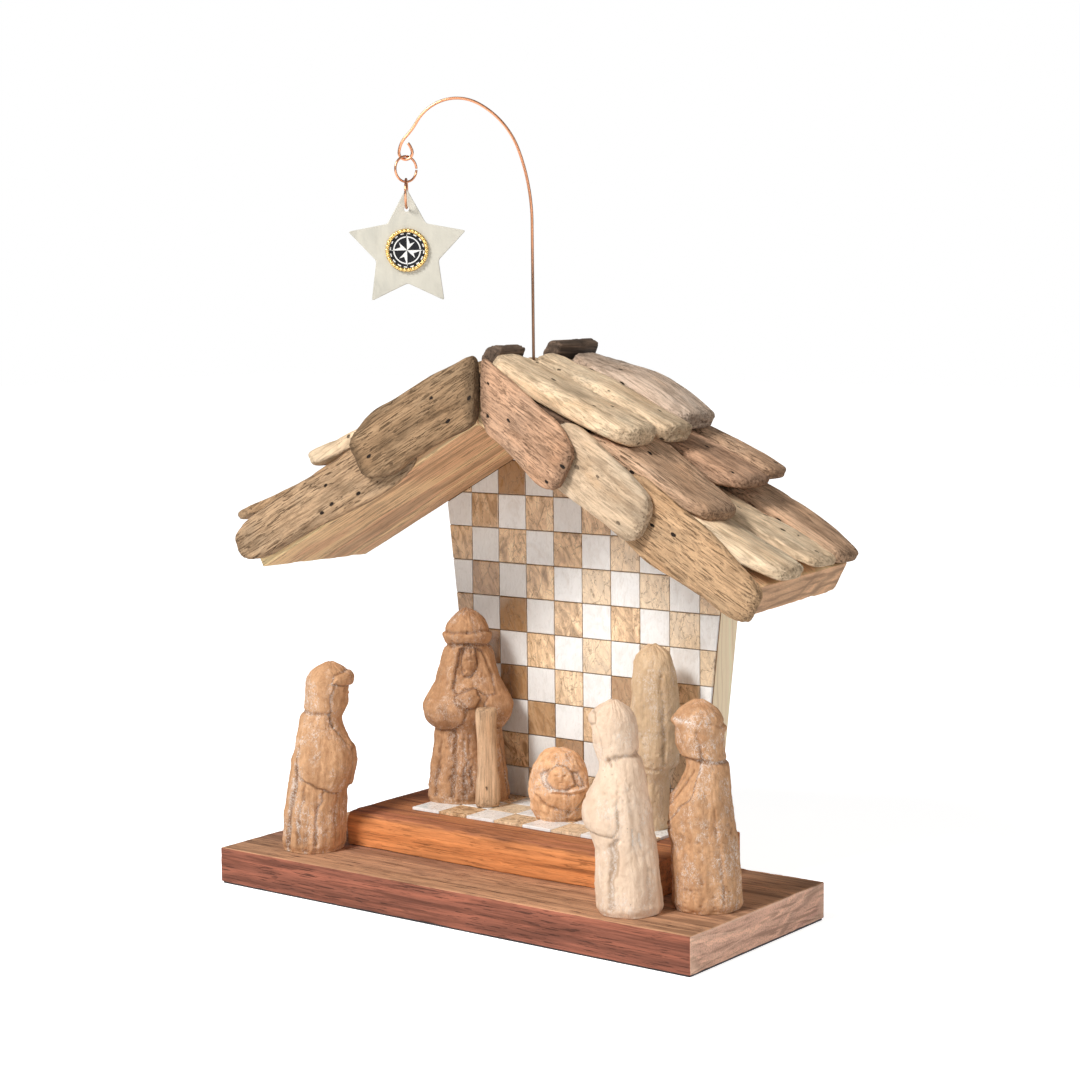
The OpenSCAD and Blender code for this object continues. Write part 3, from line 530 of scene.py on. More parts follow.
def weathered_wood(name, col, grey, pink, slits, sponge, grain_depth, end_dark):
    """Driftwood: thin dark dashes along the piece, soft grey and pink patches, nail and worm holes, and spongy pitted
    ends. Painted shade darkens the hollows, the insides of the holes and pits, and, with their end grain, the ends."""
    f = Finish(name, grain=True)
    streak = f.noise((0.012, 0.2, 0.2), 6, 0.62, 0.5)
    fibre = f.noise((0.045, 0.9, 0.9), 5, 0.72)
    cloud = f.noise((0.022, 0.05, 0.05), 4, 0.6)
    speck = f.noise((0.7, 1.1, 1.1), 4, 0.75)
    tone = f.ramp(streak, [(0.3, tint(col, 0.8 - 0.2 * grain_depth, 0.05)), (0.46, tint(col, 0.98)),
        (0.58, tint(col, 1.16)), (0.7, tint(col, 1.38, -0.03))])
    tone = f.layers(tone, (
        (cloud, 0.46, 0.66, 0.6, grey),
        (cloud, 0.46, 0.3, 0.55, pink),
        (speck, 0.5, 0.64, 0.15 + 0.35 * slits, tint(col, 1.5)),
    ))
    dash = f.noise((0.07, 1.25, 1.25), 3, 0.6, 0.3)
    group = f.noise((0.012, 0.07, 0.07), 3)
    dash = f.times(f.between(dash, 0.55, 0.63), f.between(group, 0.34, 0.5, 0.3, 1.0))
    tone = f.mix(f.times(dash, 0.1 + 0.85 * slits), tone, tint(col, 0.22, 0.1))
    tone = f.layer(tone, fibre, 0.46, 0.64, 0.3 + 0.35 * grain_depth, tint(col, 0.36, 0.06))
    bent = f.noise((0.5, 0.5, 0.5), 2)
    worm = f.cells(f.shifted(f.place((0.055, 0.1, 0.1)), f.times(bent, 0.11)))
    ring = f.between(worm, 0.16, 0.05, 0.0, 0.5)
    worm = f.between(worm, 0.082, 0.105, 1.0, 0.0)
    worm = f.times(worm, min(1.0, 0.5 + slits))
    foam = f.between(f.cells((0.5, 0.75, 0.75)), 0.22, 0.4, 1.0, 0.0)
    ends = f.maths("MAXIMUM", f.attribute("end"), f.between(cloud, 0.62 - 0.2 * max(0, sponge - 0.7), 0.72, 0.0, 0.6))
    foam = f.times(f.times(foam, ends), sponge)
    tone = f.mix(f.times(ring, 0.6), tone, tint(col, 0.5, 0.1))
    # Painted shade: the dents and hollows of the skin are darkened
    tone = f.mix(f.times(f.attribute("hollow"), 0.6), tone, tint(col, 0.32, 0.08))
    # The ends darken by a share: their end grain, and painted shade on them
    tone = f.mix(f.times(f.attribute("end"), end_dark), tone, tint(col, 0.4))
    # The pits and worm holes are the wood's own; their dark and near-black colours are painted shade inside them
    tone = f.mix(f.times(foam, 0.75), tone, tint(col, 0.36, 0.06))
    tone = f.mix(worm, tone, (0.02, 0.012, 0.008))
    deep = f.rest(f.maths("MAXIMUM", worm, foam))
    f.bump((streak, 0.7 * grain_depth), (f.rest(dash), 0.3 * grain_depth), (fibre, 0.22 * grain_depth), (speck, 0.14),
        (deep, 0.7))
    return f.done(tone, 0.8, Specular_IOR_Level=0.2)


def carved_wood(name, col, wash, wash_share, mottle=1.0):
    """Carved figure: soft mottled tan, faint upright grain, painted shade darkening the hollows and creases, white
    dust in patches and hollows, and a few pits with painted shade in them.
    """
    f = Finish(name)
    grain = f.noise((0.45, 0.45, 0.035), 5, 0.6, 0.5)
    cloud = f.noise((0.07, 0.07, 0.05), 4, 0.6)
    blot = f.noise((0.3, 0.3, 0.22), 5, 0.6, 0.6)
    speck = f.noise((1.3, 1.3, 1.0), 4, 0.75)
    tone = f.ramp(cloud, [(0.3, tint(col, 0.86, 0.04)), (0.5, col), (0.7, tint(col, 1.14, -0.02))])
    tone = f.layers(tone, (
        (blot, 0.5, 0.64, 0.55 * mottle, tint(col, 0.68, 0.12)),
        (blot, 0.47, 0.36, 0.5 * mottle, tint(col, 1.35, -0.03)),
        (grain, 0.5, 0.66, 0.4 * mottle, tint(col, 0.62, 0.1)),
        (speck, 0.54, 0.68, 0.35 * mottle, tint(col, 0.5, 0.1)),
    ))
    hollow = f.attribute("hollow")
    # Painted shade: the cuts, folds, pits and creases are darkened
    tone = f.layer(tone, hollow, 0.12, 0.8, 0.45 + 0.4 * mottle, tint(col, 0.38, 0.16))
    dust = f.noise((0.7, 0.7, 0.42), 6, 0.85, 1.4)
    where = f.maths("ADD", f.noise((0.1, 0.1, 0.06), 3), f.times(hollow, 0.16))
    dust = f.times(f.between(dust, 0.48, 0.6), f.between(where, 0.46, 0.64, 0.04, wash_share))
    line = f.times(f.attribute("chalk"), f.between(speck, 0.42, 0.58))
    tone = f.mix(f.maths("MAXIMUM", dust, line), tone, wash)
    # The pits are the wood's own; their darker colour is painted shade in them
    hole = f.between(f.cells((0.4, 0.4, 0.36)), 0.07, 0.14, 1.0, 0.0)
    hole = f.times(hole, f.between(cloud, 0.52, 0.62, 0.0, 0.7))
    tone = f.mix(hole, tone, tint(col, 0.35))
    f.bump((blot, 0.6), (grain, 0.4), (speck, 0.35), (f.rest(hole), 0.4))
    return f.done(tone, 0.8, Specular_IOR_Level=0.22)


def pearl_shell(name, col):
    """White shell: warm cloudy bands, tiles of low tone darker, as a little change from tile to tile and as painted
    shade where the tones lean low, and a low gloss.
    """
    f = Finish(name)
    cloud = f.noise((0.08, 0.08, 0.05), 5, 0.6, 2.2)
    fine = f.noise((0.5, 0.5, 0.2), 4, 0.6, 1.0)
    tone = f.ramp(cloud, [(0.3, tint(col, 0.86, 0.03)), (0.5, col), (0.7, tint(col, 1.07))])
    # Tiles of low tone are darker: change from tile to tile, and painted shade where the tones lean low
    tone = f.mix(f.between(f.attribute("tile"), 0.0, 0.6, 0.7, 0.0), tone, tint(col, 0.80, 0.04))
    tone = f.layers(tone, (
        (fine, 0.52, 0.75, 0.3, tint(col, 1.12)),
        (fine, 0.45, 0.3, 0.3, tint(col, 0.8, 0.06)),
    ))
    f.bump((cloud, 0.06))
    return f.done(tone, f.between(fine, 0.3, 0.7, 0.24, 0.36), Specular_IOR_Level=0.5, Coat_Weight=0.25,
        Coat_Roughness=0.12)


def amber_shell(name, col):
    """Gold brown shell: warm bands that change from tile to tile, tiles of low tone dark brown, partly painted shade,
    and a net of fine dark cracks that run mostly upright."""
    f = Finish(name)
    tile = f.attribute("tile")

    def apart(*placed):
        """Coordinates that jump from tile to tile."""
        return f.shifted(f.place(*placed), f.times(tile, 40.0))

    band = f.noise(apart((0.12, 0.12, 0.05), (0, 0.35, 0)), 5, 0.62, 1.8)
    spot = f.noise(apart((0.4, 0.4, 0.3)), 4, 0.65, 0.8)
    bend = f.noise((0.16, 0.16, 0.1), 4, 0.6)

    def net(scale, lift, width):
        """Thin lines along the edges of bent cells."""
        edge = f.cells(f.shifted(apart(scale), f.times(bend, lift)), "DISTANCE_TO_EDGE")
        return f.between(edge, 0.0, width, 1.0, 0.0)

    crack = f.times(net((0.1, 0.1, 0.045), 1.5, 0.03), f.between(spot, 0.35, 0.55, 0.4, 1.0))
    fine = f.times(net((0.3, 0.3, 0.16), 1.2, 0.05), f.between(band, 0.42, 0.6))
    tone = f.ramp(band, [(0.32, tint(col, 0.42, 0.12)), (0.44, tint(col, 0.78, 0.05)), (0.54, tint(col, 1.2)),
        (0.66, tint(col, 1.6, -0.1))])
    tone = f.layers(tone, (
        # High tones go pale gold and low tones dark brown: the shell's own change from tile to tile, and painted
        # shade where the tones lean low
        (tile, 0.4, 1.0, 0.72, (0.90, 0.75, 0.55)),
        (tile, 0.4, 0.0, 0.85, (0.33, 0.17, 0.07)),
        (spot, 0.5, 0.7, 0.35, tint(col, 0.55, 0.12)),
    ))
    tone = f.mix(f.times(crack, 0.7), tone, tint(col, 0.24, 0.15))
    tone = f.mix(f.times(fine, 0.6), tone, tint(col, 0.36, 0.12))
    f.bump((band, 0.08), (f.rest(crack), 0.08))
    return f.done(tone, f.between(band, 0.3, 0.7, 0.22, 0.38), Specular_IOR_Level=0.5, Coat_Weight=0.25,
        Coat_Roughness=0.12)


def metal(name, col, rough, dark):
    """Bare metal, darker in patches, with fine drawn lines."""
    f = Finish(name)
    patch = f.noise((0.05, 0.05, 0.03), 4, 0.6)
    fine = f.noise((2.0, 2.0, 0.6), 3, 0.6)
    tone = f.mix(f.between(patch, 0.35, 0.65, 0.0, dark), col, tint(col, 0.45))
    f.bump((fine, 0.03))
    return f.done(tone, f.between(patch, 0.3, 0.7, rough, rough + 0.14), Metallic=1.0)


def slope(side, u, y, w):
    """World place of a point u down a roof slope, y back and w above the boards' underside."""
    s = bpy.context.scene.stable_sizes
    c, n = math.cos(s.pitch), math.sin(s.pitch)
    x = mm(s.middle) + side * (u * c + w * n)
    z = mm(s.ridge) - u * n + w * c
    return np.stack(np.broadcast_arrays(x, y, z), axis=-1)


def outline_rings(half_long, half_wide, rows, cut, last):
    """Places along a blunt outline from end to end, evenly spaced round it: share along from -1 to 1, and share of
    the width. A small cut makes the first end square, and a small last the other end."""
    t = np.linspace(0, np.pi, 4001)
    k = np.where(t < np.pi / 2, cut, last)
    x = -np.sign(np.cos(t)) * np.abs(np.cos(t)) ** k
    y = np.abs(np.sin(t)) ** (k + 0.05)
    d = np.concatenate([[0], np.cumsum(np.hypot(np.diff(x) * half_long, np.diff(y) * half_wide))])
    at = np.linspace(0.004, 0.996, rows) * d[-1]
    return np.interp(at, d, x), np.interp(at, d, y)


# Number of points round a driftwood piece, and the length over which its ends thin, in millimetres
ROUND_COLS = 76
NOSE_MM = 3.4


def driftwood(name, place, span, near, far, foot, top, seed,
              rough=1.0, round_top=0.62, steps=None, cut=0.5, last=0.5):
    """One driftwood piece. Along its span the width follows a blunt rounded outline between a near and a far edge;
    across it the section is a rounded oblong from foot to top with a flatter foot, thinned to a nose at both ends.
    Noise lifts and lowers the skin, less at the foot."""
    rows = steps or bpy.context.scene.stable_stage.grid_steps
    p0, p1 = span
    half = (p1 - p0) / 2
    x, wide = outline_rings(half, abs(far[0] - near[0]) / 2, rows, cut, last)
    f = (x + 1) / 2
    p = p0 + (p1 - p0) * f
    lo_edge = near[0] + (near[1] - near[0]) * f
    hi_edge = far[0] + (far[1] - far[0]) * f
    wander = noise(np.stack([f * 3.1, f * 0 + seed, f * 0], -1), seed) * 1.3
    sway = noise(np.stack([f * 5.3, f * 0, f * 0 + seed], -1), seed + 5) * 0.8
    mid = (lo_edge + hi_edge) / 2 + wander * (1 - np.abs(x) ** 3)
    broad = (hi_edge - lo_edge) / 2 * wide + sway * (wide > 0.8)
    turn = np.linspace(0, 2 * np.pi, ROUND_COLS, endpoint=False)[None, :]
    c, s = np.cos(turn), np.sin(turn)
    under, over = foot(p)[:, None], top(p)[:, None]
    nose_long = NOSE_MM / half
    thin = np.clip((1 - np.abs(x)) / nose_long, 0, 1)
    nose = np.where(x < 0, 0.32 + 1.1 * (0.5 - cut), 0.32)
    thin = (nose + (1 - nose) * np.sqrt(1 - (1 - thin) ** 2))[:, None]
    q = mid[:, None] + broad[:, None] * power(c, 0.58)
    rise = np.where(s > 0, power(s, round_top), power(s, 0.36))
    h = (under + over) / 2 + (over - under) / 2 * rise * thin
    waves = noise(np.stack(np.broadcast_arrays(p[:, None] * 0.03, q * 0.06, seed * 3.7), -1), seed)
    h = h + (over - under) * 0.10 * waves * smooth(-0.2, 0.8, s)
    local = np.stack(np.broadcast_arrays(p[:, None], q, h), -1)
    n = outward(local)
    free = smooth(-0.75, -0.1, np.broadcast_to(s, n.shape[:2]))
    lumps = layered(local * (0.022, 0.07, 0.07), 3, seed) * 0.55
    ribs = layered(local * (0.012, 0.4, 0.4), 3, seed + 3) * 0.34
    dents = smooth(0.5, 0.12, pits(local * (0.07, 0.12, 0.12), seed + 9)) * 0.5
    holes = smooth(0.42, 0.1, pits(local * 0.28, seed + 4)) * smooth(0.7, 1.0, np.abs(x))[:, None] * 0.7
    lift = (lumps + ribs - dents - holes) * free * rough
    local = local + n * lift[..., None]
    # How deep a point sinks into the skin; the driftwood finish darkens it as painted shade
    hollow = np.clip(-lift / 0.75, 0, 1)
    end = np.broadcast_to(smooth(1 - 2.6 * nose_long, 1 - 0.3 * nose_long, np.abs(x))[:, None], hollow.shape)
    world = place(*np.moveaxis(local, -1, 0))
    return skin(name, world, {"grain": local + seed * 61.0, "hollow": hollow, "end": end})


def rounded(points, radius, gap):
    """Outline of a polygon with its corners rounded off and its sides cut in even steps, and each point's wear."""
    pts = np.asarray(points, float)
    out, wear = [], []
    n = len(pts)
    for i in range(n):
        a, b, c = pts[i - 1], pts[i], pts[(i + 1) % n]
        da, dc = a - b, c - b
        la, lc = np.hypot(*da), np.hypot(*dc)
        r = min(radius, la * 0.4, lc * 0.4)
        start, end = b + da / la * r, b + dc / lc * r
        t = np.linspace(0, 1, 5)[:, None]
        out.append((1 - t) ** 2 * start + 2 * t * (1 - t) * b + t ** 2 * end)
        wear.append(np.ones(5))
        nxt = pts[(i + 1) % n]
        r2 = min(radius, lc * 0.4, np.hypot(*(pts[(i + 2) % n] - nxt)) * 0.4)
        stop = nxt - dc / lc * r2
        k = max(2, int(np.hypot(*(stop - end)) / gap))
        t = np.linspace(0, 1, k + 1)[1:-1, None]
        out.append(end + (stop - end) * t)
        wear.append(np.zeros(len(t)))
    return np.concatenate(out), np.concatenate(wear)


def sawn(name, profile, a, b, place, radius, gap, seed, wave, chips):
    """A sawn piece: a rounded outline carried from a to b, with both ends rounded the same and closed by shrinking
    rings. Noise waves its faces and chips its edges. Each row of points has a place along, an inset and a shrink."""
    loop, wear = rounded(profile, radius, gap)
    mid = loop.mean(axis=0)
    tangent = np.roll(loop, -1, axis=0) - np.roll(loop, 1, axis=0)
    out = np.stack([tangent[:, 1], -tangent[:, 0]], -1)
    out /= np.maximum(np.linalg.norm(out, axis=1, keepdims=True), 1e-9)
    if np.sum(out * (loop - mid)) < 0:
        out = -out
    t = np.linspace(0, np.pi / 2, 4)
    body = np.linspace(a + radius, b - radius, max(3, int((b - a) / gap)))
    shrink = (0.0, 0.12, 0.3, 0.5, 0.7, 0.88)
    bend = [(radius * (1 - math.cos(v)), radius * (1 - math.sin(v)), 0.0) for v in t[1:-1]]
    rows = [(a, radius, k) for k in shrink[::-1]] + [(a + d, inset, k) for d, inset, k in bend]
    rows += [(v, 0.0, 0.0) for v in body]
    rows += [(b - d, inset, k) for d, inset, k in bend[::-1]] + [(b, radius, k) for k in shrink]
    along, inset, k = np.array(rows).T
    ends, caps = (inset > 0) & (k == 0), k > 0
    inset, k = inset[:, None, None], k[:, None, None]
    flat = loop[None] - out[None] * inset
    flat = flat * (1 - k) + mid * k
    P = np.concatenate([np.broadcast_to(along[:, None, None], (*flat.shape[:2], 1)), flat], -1)
    worn = np.broadcast_to(wear[None], flat.shape[:2]).copy()
    worn[ends] = 1
    n = np.zeros_like(P)
    n[..., 1:] = out[None]
    n[caps] = 0
    lift = layered(P * (0.012, 0.05, 0.05), 3, seed) * wave
    chip = np.clip(layered(P * (0.13, 0.3, 0.3), 3, seed + 2) - 0.1, 0, 1) * worn * chips
    P = P + n * (lift - chip)[..., None]
    return skin(name, place(*np.moveaxis(P, -1, 0)), {"wear": worn, "hollow": chip})


def clip_polygon(poly, line):
    """Part of a polygon on the kept side of a line a*x + b*z <= c."""
    a, b, c = line
    out = []
    for p, q in zip(poly, poly[1:] + poly[:1]):
        dp, dq = a * p[0] + b * p[1] - c, a * q[0] + b * q[1] - c
        if dp <= 0:
            out.append(p)
        if dp * dq < 0:
            t = dp / (dp - dq)
            out.append((p[0] + (q[0] - p[0]) * t, p[1] + (q[1] - p[1]) * t))
    return out


def tile_part(poly, thick, tone, tip, to_world):
    """One tile: its outline as sides, a narrow bevel, and a face tipped by a hair."""
    p = np.array(poly)
    mid = p.mean(axis=0)
    gap = p - mid
    face = mid + gap * (1 - 0.35 / np.maximum(np.abs(gap).max(axis=0), 1.0))
    n = len(p)
    h = thick + (face - mid) @ np.array(tip)
    rings = [np.c_[p, np.zeros(n)], np.c_[p, np.full(n, thick - 0.25)], np.c_[face, h]]
    pts = to_world(np.concatenate(rings))
    faces = grid_faces(3, n) + [list(range(n))[::-1], [2 * n + i for i in range(n)]]
    return pts, faces, {"tile": np.full(3 * n, tone)}


def swell(t, turn, marks):
    """Sum of round swellings, each strongest at one height and angle and fading like a bell."""
    out = np.zeros(np.broadcast(t, turn).shape)
    for height, angle, size, tall, wide in marks:
        d = (np.degrees(turn) - angle + 540) % 360 - 180
        out += size * np.exp(-((t - height) / tall) ** 2 - (d / wide) ** 2)
    return out


def soft_table(t, table):
    """A table of heights and values, joined by straight lines and then smoothed."""
    blur = 0.012
    fine = np.linspace(-0.1, 1.1, 1201)
    v = np.interp(fine, [r[0] for r in table], [r[1] for r in table])
    k = np.exp(-(np.arange(-60, 61) * 0.001 / blur) ** 2)
    v = np.convolve(np.pad(v, 60, mode="edge"), k / k.sum(), "valid")
    return np.interp(t, fine, v)


def cuts(turn, t, high_mm, radius_mm, strokes):
    """Knife cuts and raised rolls: each stroke is a line of angles and heights with a width and a depth in
    millimetres, and fades like a bell across."""
    out = np.zeros(turn.shape)
    a = np.degrees(turn)
    for line, wide, deep in strokes:
        best = np.full(turn.shape, 1e9)
        for (a0, t0), (a1, t1) in zip(line, line[1:]):
            x = np.radians((a - a0 + 540) % 360 - 180) * radius_mm
            y = (t - t0) * high_mm
            dx, dy = math.radians(a1 - a0) * radius_mm, (t1 - t0) * high_mm
            k = np.clip((x * dx + y * dy) / (dx * dx + dy * dy + 1e-9), 0, 1)
            best = np.minimum(best, (x - k * dx) ** 2 + (y - k * dy) ** 2)
        out += deep * np.exp(-best / wide ** 2)
    return out


def mirrored(strokes):
    """The strokes or fields and the same ones on the other side."""
    return strokes + [([(-a, t) for a, t in line], *rest) for line, *rest in strokes]


def fields(turn, t, high_mm, radius_mm, shapes):
    """Raised or sunk fields: each is a polygon of angles and heights, a depth, an edge width and a doming width in
    millimetres, and two heights between which it melts away upward. Gives the lift and the crease outside each
    edge."""
    lift, crease = np.zeros(turn.shape), np.zeros(turn.shape)
    for poly, deep, edge, dome, melt in shapes:
        mid = sum(a for a, _ in poly) / len(poly)
        x = np.radians((np.degrees(turn) - mid + 540) % 360 - 180) * radius_mm
        y = t * high_mm
        corners = [(math.radians(a - mid) * radius_mm, b * high_mm) for a, b in poly]
        best, inside = np.full(turn.shape, 1e9), np.zeros(turn.shape, bool)
        for (x0, y0), (x1, y1) in zip(corners, corners[1:] + corners[:1]):
            dx, dy = x1 - x0, y1 - y0
            k = np.clip(((x - x0) * dx + (y - y0) * dy) / (dx * dx + dy * dy + 1e-9), 0, 1)
            best = np.minimum(best, np.hypot(x - x0 - k * dx, y - y0 - k * dy))
            inside ^= ((y0 > y) != (y1 > y)) & (x < x0 + (y - y0) * dx / (dy if dy else 1e-9))
        d = np.where(inside, best, -best)
        fade = smooth(melt[1], melt[0], t) if melt else 1.0
        lift += deep * fade * (0.45 * smooth(-edge, edge, d) + 0.55 * np.sqrt(np.clip(d / dome, 0, 1)))
        crease = np.maximum(crease, fade * np.exp(-((d + (0.7 if deep > 0 else -0.7)) / 0.8) ** 2))
    return lift, crease


# Rows of points up a figure, columns round it, and rows in its crown
FIGURE_ROWS, FIGURE_COLS, CROWN_ROWS = 330, 264, 50


def figure(node, look, foot, mat, build, marks, strokes, shapes, chalk, grooves, seed, rough, robe):
    """A carved figure that looks a given way: at each height its half sizes to the sides, front and back come from
    tables, bells swell them, fields and knife strokes raise and cut the skin, and noise roughens it."""
    lo, hi = low(node), high(node)
    tall = hi[2] - lo[2]
    crown = 0.93 + 0.07 * np.sin(np.linspace(0, np.pi / 2, CROWN_ROWS))
    t = np.concatenate([np.linspace(0, 0.02, 8)[:-1], np.linspace(0.02, 0.93, FIGURE_ROWS - 60), crown[1:]])[:, None]
    turn = np.linspace(0, 2 * np.pi, FIGURE_COLS, endpoint=False)[None, :]
    tt = np.broadcast_to(t, (len(t), FIGURE_COLS))
    aa = np.broadcast_to(turn, tt.shape)
    c, s = np.cos(aa), np.sin(aa)
    w, front, back, lean = (soft_table(tt, build[word]) for word in ("side", "front", "back", "lean"))
    d = np.where(c > 0, front, back)
    base_r = float(np.mean(w)) * tall
    k = 1 + swell(tt, aa, marks)
    fold = 0.022 * smooth(0.7, 0.6, tt) * np.sin(grooves * aa + math.radians(seed * 40))
    x = (lean + np.minimum(d, 1) * c * (k + fold)) * tall
    y = w * s * (k + fold) * tall
    P = np.stack([x, y, tt * tall], -1)
    n = outward(P)
    rnd = np.stack([c * 14, s * 14, tt * tall], -1)
    away = layered(rnd * 0.16, 2, seed + 11)
    wander, stray = aa + away * 0.07, tt + noise(rnd * 0.2, seed + 12) * 0.006
    ease = 1 + 0.4 * noise(rnd * 0.12, seed + 13)
    carve = cuts(wander, stray, tall, base_r, strokes) * ease
    field, crease = fields(wander, stray, tall, base_r, shapes)
    drape = layered(rnd * (0.22, 0.22, 0.018), 3, seed + 1)
    drape = -np.abs(drape) * robe * smooth(0.66, 0.5, tt) + 0.25 * robe * smooth(0.66, 0.5, tt)
    lumps = layered(rnd * 0.09, 3, seed) * 0.5
    facet = layered(rnd * (0.2, 0.2, 0.12), 2, seed + 21)
    chips = layered(rnd * (0.45, 0.45, 0.3), 3, seed + 5) * 0.2
    pit = -smooth(0.45, 0.1, pits(rnd * 0.3, seed + 8)) * 0.4 * smooth(-0.1, 0.5, noise(rnd * 0.05, seed + 2))
    lift = carve + field + (drape + lumps + chips + pit - 0.3 * np.abs(facet)) * rough
    lift *= smooth(0.0, 0.01, tt) * 0.9 + 0.1
    P = P + n * lift[..., None]
    P[..., 2] = np.clip(P[..., 2], 0, None)
    # How deep the cuts, folds, chips and pits sink, with the creases outside raised fields: the carved finish darkens
    # it as painted shade and gathers white wash in it
    hollow = np.clip(-(carve + (drape + chips * 1.4 + pit) * rough) / 1.5, 0, 1)
    hollow = np.maximum(hollow, crease * 0.8)
    ca, sa = math.cos(math.radians(look)), math.sin(math.radians(look))
    x, y, z = np.moveaxis(P, -1, 0)
    world = np.stack([foot[0] + x * ca - y * sa, foot[1] + x * sa + y * ca, lo[2] + z], -1)
    paint = np.clip(cuts(wander, stray, tall, base_r, chalk), 0, 1) if chalk else hollow * 0
    settle(skin(node + "_carving", world, {"hollow": hollow, "chalk": paint}), mat, node)


# Builds of the figures: heights from 0 at the foot to 1 at the crown, and half sizes as shares of the whole height
ROBE = {
    "side": [(0, 0.155), (0.03, 0.17), (0.3, 0.166), (0.45, 0.172), (0.55, 0.165), (0.65, 0.136), (0.72, 0.114),
        (0.76, 0.12), (0.85, 0.125), (0.91, 0.126), (0.945, 0.108), (0.968, 0.085), (0.985, 0.058), (1, 0.016)],
    "front": [(0, 0.155), (0.03, 0.168), (0.2, 0.165), (0.31, 0.158), (0.37, 0.178), (0.45, 0.195), (0.52, 0.19),
        (0.6, 0.14), (0.66, 0.1), (0.7, 0.09), (0.75, 0.098), (0.8, 0.108), (0.86, 0.11), (0.9, 0.12), (0.93, 0.114),
        (0.968, 0.082), (0.985, 0.055), (1, 0.016)],
    "back": [(0, 0.155), (0.03, 0.17), (0.2, 0.165), (0.35, 0.152), (0.55, 0.133), (0.7, 0.134), (0.75, 0.12),
        (0.85, 0.122), (0.91, 0.117), (0.95, 0.098), (0.985, 0.055), (1, 0.016)],
    "lean": [(0, 0), (0.3, 0.02), (0.5, 0.032), (0.6, 0.05), (0.75, 0.08), (1, 0.098)],
}
CLOAK = {
    "side": [(0, 0.205), (0.03, 0.216), (0.12, 0.21), (0.3, 0.182), (0.385, 0.172), (0.44, 0.2), (0.5, 0.212),
        (0.56, 0.2), (0.65, 0.165), (0.75, 0.137), (0.81, 0.114), (0.835, 0.12), (0.865, 0.13), (0.9, 0.11),
        (0.93, 0.098), (0.95, 0.084), (0.985, 0.045), (1, 0.012)],
    "front": [(0, 0.145), (0.03, 0.155), (0.3, 0.14), (0.39, 0.145), (0.45, 0.18), (0.52, 0.18), (0.6, 0.15),
        (0.7, 0.125), (0.8, 0.11), (0.84, 0.12), (0.87, 0.13), (0.9, 0.112), (0.95, 0.082), (0.985, 0.045),
        (1, 0.012)],
    "back": [(0, 0.14), (0.03, 0.15), (0.4, 0.14), (0.6, 0.13), (0.8, 0.11), (0.865, 0.125), (0.9, 0.108),
        (0.95, 0.08), (0.985, 0.045), (1, 0.012)],
    "lean": [(0, 0), (1, 0.02)],
}
VEIL = {
    "side": [(0, 0.11), (0.03, 0.12), (0.25, 0.112), (0.33, 0.125), (0.4, 0.138), (0.6, 0.14), (0.75, 0.128),
        (0.87, 0.11), (0.93, 0.095), (0.968, 0.075), (0.985, 0.056), (1, 0.02)],
    "front": [(0, 0.11), (0.03, 0.12), (0.3, 0.115), (0.45, 0.14), (0.55, 0.14), (0.65, 0.11), (0.72, 0.1),
        (0.8, 0.108), (0.9, 0.105), (0.95, 0.085), (0.985, 0.052), (1, 0.02)],
    "back": [(0, 0.11), (0.03, 0.12), (0.22, 0.11), (0.28, 0.118), (0.36, 0.165), (0.5, 0.165), (0.7, 0.155),
        (0.85, 0.13), (0.93, 0.105), (0.968, 0.08), (0.985, 0.056), (1, 0.02)],
    "lean": [(0, 0), (0.3, -0.005), (1, -0.035)],
}
WRAP = {
    "side": [(0, 0.31), (0.04, 0.35), (0.15, 0.4), (0.4, 0.435), (0.6, 0.42), (0.75, 0.375), (0.875, 0.3),
        (0.95, 0.22), (0.985, 0.13), (1, 0.06)],
    "front": [(0, 0.29), (0.04, 0.33), (0.15, 0.38), (0.4, 0.41), (0.6, 0.38), (0.8, 0.31), (0.9, 0.23), (0.95, 0.18),
        (0.985, 0.11), (1, 0.06)],
    "back": [(0, 0.29), (0.04, 0.33), (0.15, 0.38), (0.4, 0.41), (0.6, 0.38), (0.8, 0.31), (0.9, 0.23), (0.95, 0.18),
        (0.985, 0.11), (1, 0.06)],
    "lean": [(0, 0), (1, 0.02)],
}

# Strokes: a line of angles and heights, a width and a depth in millimetres. Angle 0 is the figure's front
FACE = [
    ([(-14, 0.872), (0, 0.876), (14, 0.872)], 1.0, -0.4),
    ([(0, 0.87), (0, 0.838)], 0.8, 0.8),
    ([(-4, 0.834), (4, 0.834)], 0.8, 0.6),
    ([(-20, 0.858), (-9, 0.858)], 1.1, -0.7),
    ([(9, 0.858), (20, 0.858)], 1.1, -0.7),
    ([(-18, 0.857), (-10, 0.857)], 0.6, 0.45),
    ([(10, 0.857), (18, 0.857)], 0.6, 0.45),
    ([(-8, 0.812), (8, 0.812)], 0.6, -0.5),
    ([(-6, 0.804), (6, 0.804)], 0.7, 0.3),
]
